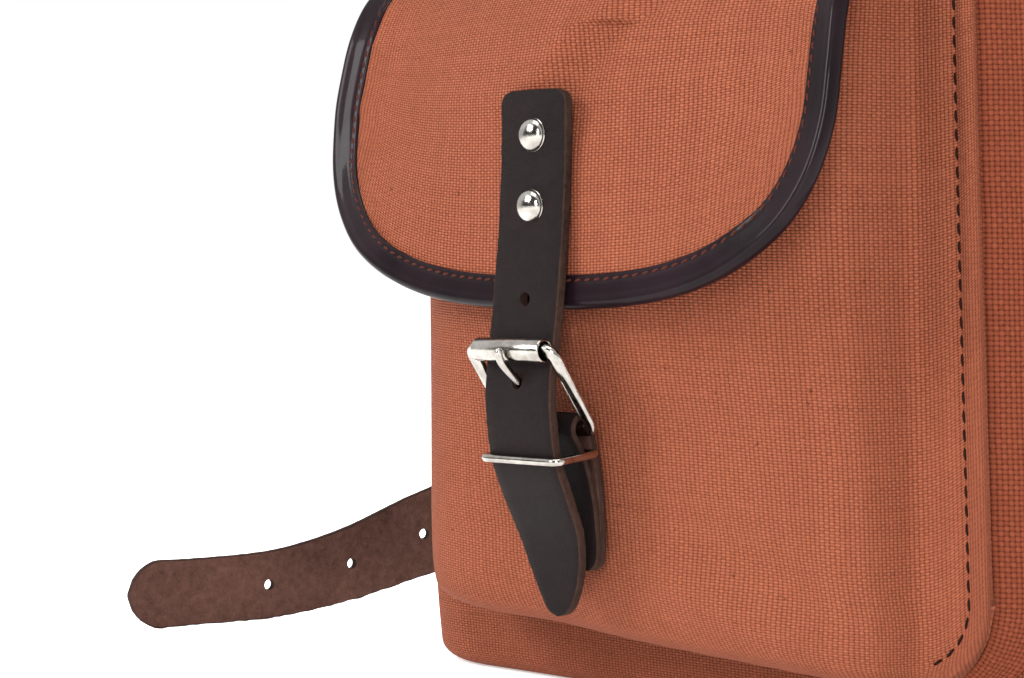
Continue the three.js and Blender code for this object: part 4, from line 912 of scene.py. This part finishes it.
def loop_line(half_wide, start, end, corner, steps):
    """A rectangle with rounded corners, from one place out of the cloth to another."""
    start, end = (np.array([0, -out, up]) for out, up in (start, end))
    across, along = np.array([1.0, 0, 0]), unit(end - start)
    wide, long = half_wide - corner, np.linalg.norm(end - start) / 2 - corner
    places, sides = [], []
    for k, (sx, sy) in enumerate(((1, 1), (-1, 1), (-1, -1), (1, -1))):
        for turn in (k + np.linspace(0, 1, steps)) * np.pi / 2:
            side = across * math.cos(turn) + along * math.sin(turn)
            places.append((start + end) / 2 + across * sx * wide + along * sy * long + side * corner)
            sides.append(side)
    return np.array(places), np.array(sides), np.tile(np.cross(across, along), (len(places), 1))


def metal_piece(node, seat, places, sides, rises, section, closed=True):
    points, faces = swept(places, sides, rises, section, closed)
    finish_piece(node + "_bright", node, "nickel", seat.points(points), faces, [nickel])


def tongue_line(b):
    radius = WRAP + TONGUE / 2
    rest = (ROLLER + TONGUE) / 2 + SEAT_GAP
    line = [(0, -(b.bar + radius * math.cos(q)), b.bar_up + radius * math.sin(q))
            for q in np.array([-0.85, -0.65, -0.4, -0.15, 0.1, 0.3]) * np.pi]
    return np.array(line + [(0, -(b.roller + 0.9 * rest), -0.5 * rest), (0, -(b.roller + 1.02 * rest), 0.12 * rest)])


def chape_place(b, along):
    wrap = WRAP + CHAPE_WALL / 2
    seat = SEAT_GAP + CHAPE_WALL / 2 + 0.30 * wrap
    return (seat + CHAPE.read(along, "rise") * (b.bar - seat), b.bar_up - along * CHAPE_LENGTH,
            CHAPE.read(along, "half") * wrap)


def strap_section(half, thick, faces_across, seed):
    """Half widths to sections with a grain face, two cut edges and a flesh face; also the tags of each stretch."""
    share = np.linspace(-1, 1, faces_across)
    rough = np.random.default_rng(seed).normal(0, 0.10, (len(half), 8))
    rough[:-1] = (rough[:-1] + rough[1:]) / 2
    crown, t = 0.12, thick / 2
    sections = []
    for h, r in zip(half, rough):
        top = [(q * (h - 0.5), t + crown * (1 - q * q)) for q in share]
        right = [(h - 0.12 + r[0] * 0.4, t - 0.28), (h + r[1], t * 0.3), (h + r[2], -t * 0.35),
                 (h - 0.1 + r[3] * 0.6, -t + 0.3)]
        bottom = [(q * (h - 0.5), -t) for q in share[::-1]]
        left = [(-a + w, c) for (a, c), w in zip(right[::-1], r[4:] - r[:4])]
        sections.append(top + right + bottom + left)
    return np.array(sections), [0] * (faces_across - 1) + [2] * 5 + [1] * (faces_across - 1) + [2] * 5


def strap_piece(node, seat, places, sides, rises, half, thick, seed, across=9):
    sections, tags = strap_section(half, thick, across, seed)
    points, faces = swept(places, sides, rises, sections)
    return finish_piece(node + "_hide", node, "dark_leather", seat.points(points), faces,
                        [hide, hide_flesh, hide_edge], tags=tags * (len(places) - 1) + [2, 2], sharp=50)


def end_width(distance, corner, full):
    """Half width near a squared end with rounded corners."""
    inside = np.clip(corner - distance, 0, corner)
    return full / 2 - corner + np.sqrt(np.maximum(corner ** 2 - inside ** 2, 0))


def flat_frames(line):
    """Sides and rises for a strap that bends only out of the cloth."""
    travel = heading(line)
    side = np.tile([1.0, 0, 0], (len(line), 1))
    return side, unit(np.cross(travel, side))


def buckle_parts(name, seat, b, strap_out, front_up, suffix=""):
    half = b.width / 2 + FRAME_CLEAR + BAR_WIDE / 2
    turn = round_turns(18)
    section = np.stack([size / 2 * np.sign(wave) * np.abs(wave) ** 0.6
                        for size, wave in ((BAR_WIDE, np.cos(turn)), (BAR_THICK, np.sin(turn)))], 1)
    metal_piece(f"{name}_buckle_frame{suffix}", seat,
                *loop_line(half, (b.bar, b.bar_up), (b.roller, 0), FRAME_CORNER, 9), section)

    end, outer = half - FRAME_CORNER, ROLLER / 2
    profile = [(end - 0.4, outer), (end - 0.1, outer - 0.15), (end, outer - 0.4), (end - 0.1, WRAP)]
    profile += [(-x, r) for x, r in profile[::-1]]
    turn = round_turns(28)
    metal_piece(f"{name}_buckle_roller{suffix}", seat, np.tile([0, -b.roller, 0.0], (28, 1)),
                np.tile([1.0, 0, 0], (28, 1)), np.stack([0 * turn, np.cos(turn), np.sin(turn)], 1), profile)

    line = spline(tongue_line(b), 0.6)
    sections = np.array([ring_section(TONGUE / 2, 12) * np.array([1.12 - 0.2 * f, 0.92 - 0.06 * f])
                         for f in np.linspace(0, 1, len(line))])
    sections[-1] *= 0.55
    metal_piece(f"{name}_buckle_tongue{suffix}", seat, line, *flat_frames(line), sections, False)

    back = [float(q) for q in chape_place(b, KEEPER_ON_CHAPE)[:2]]
    front = strap_out + LEATHER / 2 + SEAT_GAP + KEEPER / 2
    loop = loop_line(b.width / 2 + 2 * SEAT_GAP + KEEPER / 2, back, (front, front_up), KEEPER_CORNER, 9)
    metal_piece(f"{name}_keeper{suffix}", seat, *loop, ring_section(KEEPER / 2, 14))


def chape_piece(node, seat, b, seed):
    """The leather loop round a buckle's bar, with a slot for the tongue."""
    wrap = WRAP + CHAPE_WALL / 2
    along = np.linspace(0, 1, 34)
    out, up, half = chape_place(b, along)
    centre = np.stack([0 * out, -out, up], 1)
    travel = heading(centre)
    normal = np.stack([0 * out, travel[:, 2], -travel[:, 1]], 1)
    if normal[0][1] > 0:
        normal = -normal
    turns = math.atan2(normal[0][2], -normal[0][1]) + np.linspace(1, 0, 14)[1:-1] * np.pi
    bend = [[0, -(b.bar + wrap * math.cos(q)), b.bar_up + wrap * math.sin(q)] for q in turns]
    line = np.vstack([(centre - normal * half[:, None])[::-1], bend, centre + normal * half[:, None]])
    wide = CHAPE.read(along, "wide")
    wide = np.concatenate([wide[::-1], np.ones(len(bend)), wide]) * (b.width - CHAPE_NARROWER) / 2
    piece = strap_piece(node, seat, line, *flat_frames(line), wide, CHAPE_WALL, seed)
    corners = np.array([[sx, sy, sz] for sx in (-1, 1) for sy in (-1, 1) for sz in (-1, 1)])
    corners = corners * np.array([TONGUE / 2 + 2 * SEAT_GAP, 1.5 * wrap, 1.7 * wrap]) + [0, -b.bar, b.bar_up]
    box = [[0, 1, 3, 2], [4, 6, 7, 5], [0, 4, 5, 1], [2, 3, 7, 6], [0, 2, 6, 4], [1, 5, 7, 3]]
    cut_holes(piece, seat, [(corners, box)])


def rivet_piece(node, seat, place, outward):
    """A polished dome on a thin flange."""
    r, h, foot = RIVET / 2, RIVET_HEIGHT, 0.2 - LEATHER
    profile = [(r * math.sin(q) * 0.97, SEAT_GAP + 0.35 + (h - 0.35) * math.cos(q))
               for q in np.linspace(0.02, np.pi / 2, 12)]
    profile += [(r, 0.5), (r, SEAT_GAP), (RIVET / 6, SEAT_GAP), (RIVET / 6, foot), (0.05, foot)]
    outward = unit(np.asarray(outward, float))
    side = unit(np.cross(outward, [0.3, 0.2, 1.0]))
    turn = round_turns(30)[:, None]
    circle = side * np.cos(turn) + np.cross(outward, side) * np.sin(turn)
    points = np.vstack([np.asarray(place) + outward * height + circle * radius for radius, height in profile])
    finish_piece(node + "_bright", node, "nickel", seat.points(points), ring_faces(len(profile), 30), [nickel],
                 sharp=38)


def closure(name, seat, flap_out, seed):
    b = Buckle(STRAP_WIDTH, ROLLER_OUT, BAR_OUT)
    rest = flap_out + SEAT_GAP + LEATHER / 2
    knots = [(0, -rest - away, share * ON_FLAP)
             for share, away in ((1, 0), (0.85, 0), (0.7, 0.2), (0.55, 0.8), (0.43, 1.4))]
    knots += [(0, -out * b.pass_out, up * FRAME_LENGTH) for up, out in BUCKLED]
    knots += [(0, -0.315 * b.pass_out, -0.93 * STRAP_TAIL), (0, -0.31 * b.pass_out, -STRAP_TAIL)]
    line = spline(knots, 0.8)
    length = lengths(line)
    half = np.minimum(end_width(length, 4.0, STRAP_WIDTH), POINT.read(length[-1] - length, "half"))
    piece = strap_piece(f"{name}_strap", seat, line, *flat_frames(line), half, LEATHER, seed)
    upwards = line[np.argsort(line[:, 2])]

    def out_at(up):
        return float(np.interp(up, upwards[:, 2], -upwards[:, 1]))

    tongue_up = -0.5 * FRAME_LENGTH * b.pass_out / b.roller
    start, end = tongue_line(b)[-3:-1]
    share = (-out_at(tongue_up) - start[1]) / (end[1] - start[1])
    hole_up = tongue_up + HOLE_PITCH
    cut_holes(piece, seat, [rod(np.array([0, -out_at(hole_up), hole_up]), (0, 1, 0), STRAP_HOLE / 2, 12),
                            rod(start + (end - start) * share, end - start, TONGUE / 2 + 0.7, 14)])
    for which, down in (("upper", RIVET_END), ("lower", RIVET_END + RIVET_PITCH)):
        up = ON_FLAP - down
        rivet_piece(f"{name}_rivet_{which}", seat, (0, -(out_at(up) + LEATHER / 2 - 0.25), up), (0, -1, 0))
    keeper_up = KEEPER_SHARE * FRAME_LENGTH
    buckle_parts(name, seat, b, out_at(keeper_up), keeper_up)
    chape_piece(f"{name}_chape", seat, b, seed + 1)


# The shoulder straps

def lower_seat(mirror):
    turn = math.radians(LOWER_ANGLE)
    axes = (-math.cos(turn), 0, -math.sin(turn)), (0, -1, 0), (-math.sin(turn), 0, math.cos(turn))
    return Seat((LOWER_X, float(back_face(LOWER_X, LOWER_Z)), LOWER_Z), axes, mirror)


def shoulder_line(b):
    """Middle, turn of the width about Y, and half width, on the right-hand side."""
    turn = math.radians(LOWER_ANGLE)
    knots = []
    for down, bow, way in ARM:
        x = ANCHOR_SPREAD + way * (LOWER_X - ANCHOR_SPREAD)
        z = ANCHOR_Z - down * (ANCHOR_Z - LOWER_Z)
        y = float(back_face(max(x - SHOULDER_WIDTH / 2, 0), z)) + SEAT_GAP + LEATHER / 2 + bow * ARM_BOW
        knots.append((x, y, z, turn * down ** 3, 1))
    for p in lower_seat(1).points([[0, -out * b.pass_out, up * FRAME_LENGTH] for up, out in LOWER]):
        knots.append((*p, turn, 1))
    for k, (reach, run, up, wide) in enumerate(TAIL):
        p = (reach * TAIL_REACH, TAIL_TIP + run * (TAIL_BACK - TAIL_TIP), up * SHOULDER_WIDTH)
        knots.append((*p, turn + (math.pi / 2 - turn) * min((k + 1) / 4, 1), wide))
    return spline(knots, 1.6)


def shoulder_strap(side_name, mirror):
    b = Buckle(SHOULDER_WIDTH, LOWER_ROLLER, LOWER_BAR)
    line = shoulder_line(b)
    place = line[:, :3]
    width = np.stack([np.cos(line[:, 3]), np.zeros(len(line)), np.sin(line[:, 3])], 1)
    travel = heading(place)
    width = unit(width - travel * np.sum(width * travel, axis=1)[:, None])
    rise = unit(np.cross(width, travel))
    length = lengths(line)
    left = length[-1] - length
    half = np.minimum(SHOULDER_WIDTH / 2 * line[:, 4], end_width(length, 5.0, SHOULDER_WIDTH))
    half = np.minimum(half, TIP.read(left, "half"))
    seat = Seat(mirror=mirror)
    piece = strap_piece(f"shoulder_strap_{side_name}", seat, place, width, rise, half, LEATHER,
                        40 if mirror > 0 else 41, across=15)
    spots = [int(np.argmin(np.abs(left - TAIL_HOLE - k * TAIL_PITCH))) for k in range(4)]
    tools = [rod(place[q], rise[q], STRAP_HOLE / 2, 12) for q in spots]
    start, end = lower_seat(1).points(tongue_line(b))[-3:-1]
    near = int(np.argmin(np.linalg.norm(place - (start + end) / 2, axis=1)))
    share = (place[near] - start) @ rise[near] / ((end - start) @ rise[near])
    tools.append(rod(start + (end - start) * share, end - start, TONGUE / 2 + 0.7, 16))
    cut_holes(piece, seat, tools)
    q = int(np.argmin(np.abs(length - RIVET_END)))
    rivet_piece(f"shoulder_anchor_rivet_{side_name}", seat, place[q] + rise[q] * (LEATHER / 2 - 0.25), rise[q])
    ups, outs = zip(*LOWER)
    keeper_out = float(np.interp(-KEEPER_SHARE, -np.array(ups), outs)) * b.pass_out
    mirrored = lower_seat(mirror)
    buckle_parts("shoulder", mirrored, b, keeper_out, KEEPER_SHARE * FRAME_LENGTH, f"_{side_name}")
    chape_piece(f"shoulder_chape_{side_name}", mirrored, b, 50)


def grab_handle():
    y = float(lid_back(HANDLE_HALF - HANDLE_WIDTH / 2, LID_ROWS[0][0])) + SEAT_GAP + HANDLE_WALL / 2
    half = [(share * HANDLE_HALF, y, HANDLE_FOOT + up * (HANDLE_TOP - HANDLE_FOOT), wide)
            for share, up, wide in HANDLE]
    line = spline([(-x, y, z, w) for x, y, z, w in half[::-1]] + half[1:], 1.6)
    place = line[:, :3]
    travel = heading(place)
    side = unit(np.cross(travel, [0.0, 1.0, 0.0]))
    rise = unit(np.cross(travel, side))
    if rise[0][1] < 0:
        side, rise = -side, -rise
    length = lengths(line)
    end = np.minimum(length, length[-1] - length)
    wide = np.minimum(line[:, 3] * HANDLE_WIDTH / 2, end_width(end, 6.0, HANDLE_WIDTH))
    strap_piece("handle", Seat(), place, side, rise, wide, HANDLE_WALL, 60, across=11)
    for name, way in (("right", 1), ("left", -1)):
        rivet_piece(f"handle_rivet_{name}", Seat(),
                    (way * HANDLE_HALF, y + HANDLE_WALL / 2 - 0.25, HANDLE_FOOT + RIVET_END), (0, 1, 0))


# Camera, floor and light first, then the pieces

def lookout():
    image_width, sensor, focal = 1024, 36, 2600
    camera = bpy.data.cameras.new("camera")
    camera.lens = focal / image_width * sensor
    camera.sensor_width = sensor
    camera.shift_y = -69 / image_width
    camera.clip_end = 50
    made = in_scene("camera", camera)
    made.location = (0.5064, (-651.6 + SHIFT_Y) / 1000, 0.129)
    made.rotation_euler = (math.pi / 2, 0, math.radians(45))
    bpy.context.scene.camera = made


def soft_light(name, place, aim, size, power):
    lamp = bpy.data.lights.new(name, "AREA")
    lamp.shape = "RECTANGLE"
    lamp.size, lamp.size_y = size
    lamp.energy = power
    made = in_scene(name, lamp)
    made.location = place
    x, y, z = np.array(aim, float) - np.array(place, float)
    made.rotation_euler = (math.atan2(math.hypot(x, y), -z), 0, math.atan2(y, x) - math.pi / 2)


def studio():
    s = Shade("pale_floor", Specular_IOR_Level=0.2, Emission_Strength=0.45, Emission_Color=(1, 1, 1, 1))
    mottle = s.noise(3.0, 3.0)
    s.finish(Base_Color=s.mix(mottle, (0.965, 0.965, 0.965, 1), (0.985, 0.985, 0.98, 1)),
             Roughness=0.85 + mottle * 0.1)
    mesh = bpy.data.meshes.new("floor")
    radius, sides = 40, 64
    floor_points = [(x, y, -0.0004) for x, y in ring_section(radius, sides)]
    mesh.from_pydata(floor_points, [], [list(range(sides))])
    mesh.materials.append(s.material)
    floor = in_scene("floor", mesh)

    # A sky that is bright on one side and dark on the other, for the metal to mirror
    world = bpy.data.worlds.new("studio")
    world.use_nodes = True
    tree = world.node_tree
    place = tree.nodes.new("ShaderNodeTexCoord")
    facing = tree.nodes.new("ShaderNodeVectorMath")
    facing.operation = "DOT_PRODUCT"
    facing.inputs[1].default_value = (0.20, -0.95, -0.24)
    ramp = tree.nodes.new("ShaderNodeValToRGB")
    stops = [(0.0, 1.0), (0.30, 1.0), (0.42, 0.14), (0.70, 0.04), (1.0, 0.04)]
    while len(ramp.color_ramp.elements) < len(stops):
        ramp.color_ramp.elements.new(0.5)
    for element, (at, tone) in zip(ramp.color_ramp.elements, stops):
        element.position = at
        element.color = (tone, tone, tone, 1)
    tree.links.new(place.outputs["Generated"], facing.inputs[0])
    tree.links.new(facing.outputs["Value"], ramp.inputs["Fac"])
    tree.links.new(ramp.outputs["Color"], tree.nodes["Background"].inputs["Color"])
    bpy.context.scene.world = world
    for light in (("key", (-0.70, -1.75, 1.15), (0, -0.05, 0.12), (0.8, 0.8), 33),
                  ("back", (-0.6, 1.9, 1.3), (0, 0.05, 0.2), (1.2, 1.2), 40),
                  ("fill", (1.25, -1.70, 0.75), (0, -0.05, 0.12), (0.5, 0.9), 30),
                  ("top", (0.1, -0.5, 1.9), (0, -0.05, 0.12), (1.0, 1.0), 18)):
        soft_light(*light)
    bpy.context.scene.view_settings.view_transform = "Standard"


lookout()
studio()

body_panel("body_front", front_face, 1, 1)
body_panel("body_back", back_face, -1, 2)
body_side("body_side_right", 1, 3)
body_side("body_side_left", -1, 4)
body_base()

cloth_piece("pocket_panel", pocket_rows(), row=50)
pocket_gusset()
pocket_seam()

rows = flap_rows()
normals = face_normals(rows, grid_normals(rows), 60, flap_surface)
cloth_piece("pocket_flap", rows, normals, row=60)
binding("pocket_flap_binding", rows, normals, 35, "pocket_flap_stitches")

rows = lid_rows()
front = int(np.sum(rows[:, rows.shape[1] // 2, 2] < LID_FRONT + LID_DROP))
normals = face_normals(rows, grid_normals(rows), front, lambda x, z: lid_face(x))
cloth_piece("lid", rows, normals)
binding("lid_binding", rows, normals, 21, "lid_stitches")

pocket_roller = float(flap_low(0)) - BUCKLE_DROP
closure("pocket", upright_seat(0, FLAP_Y + POCKET_SEAT, pocket_roller, CLOSURE_TURN), POCKET_SEAT, 30)
lid_roller = float(lid_low(LID_SPREAD)) - BUCKLE_DROP
strap_inner = LID_SPREAD - STRAP_WIDTH / 2
lid_base = float(front_face(strap_inner, lid_roller - ON_FLAP))
for name, way, seed in (("lid_right", 1, 32), ("lid_left", -1, 34)):
    closure(name, upright_seat(way * LID_SPREAD, lid_base, lid_roller), lid_base - float(lid_face(strap_inner)), seed)
shoulder_strap("right", 1)
shoulder_strap("left", -1)
grab_handle()
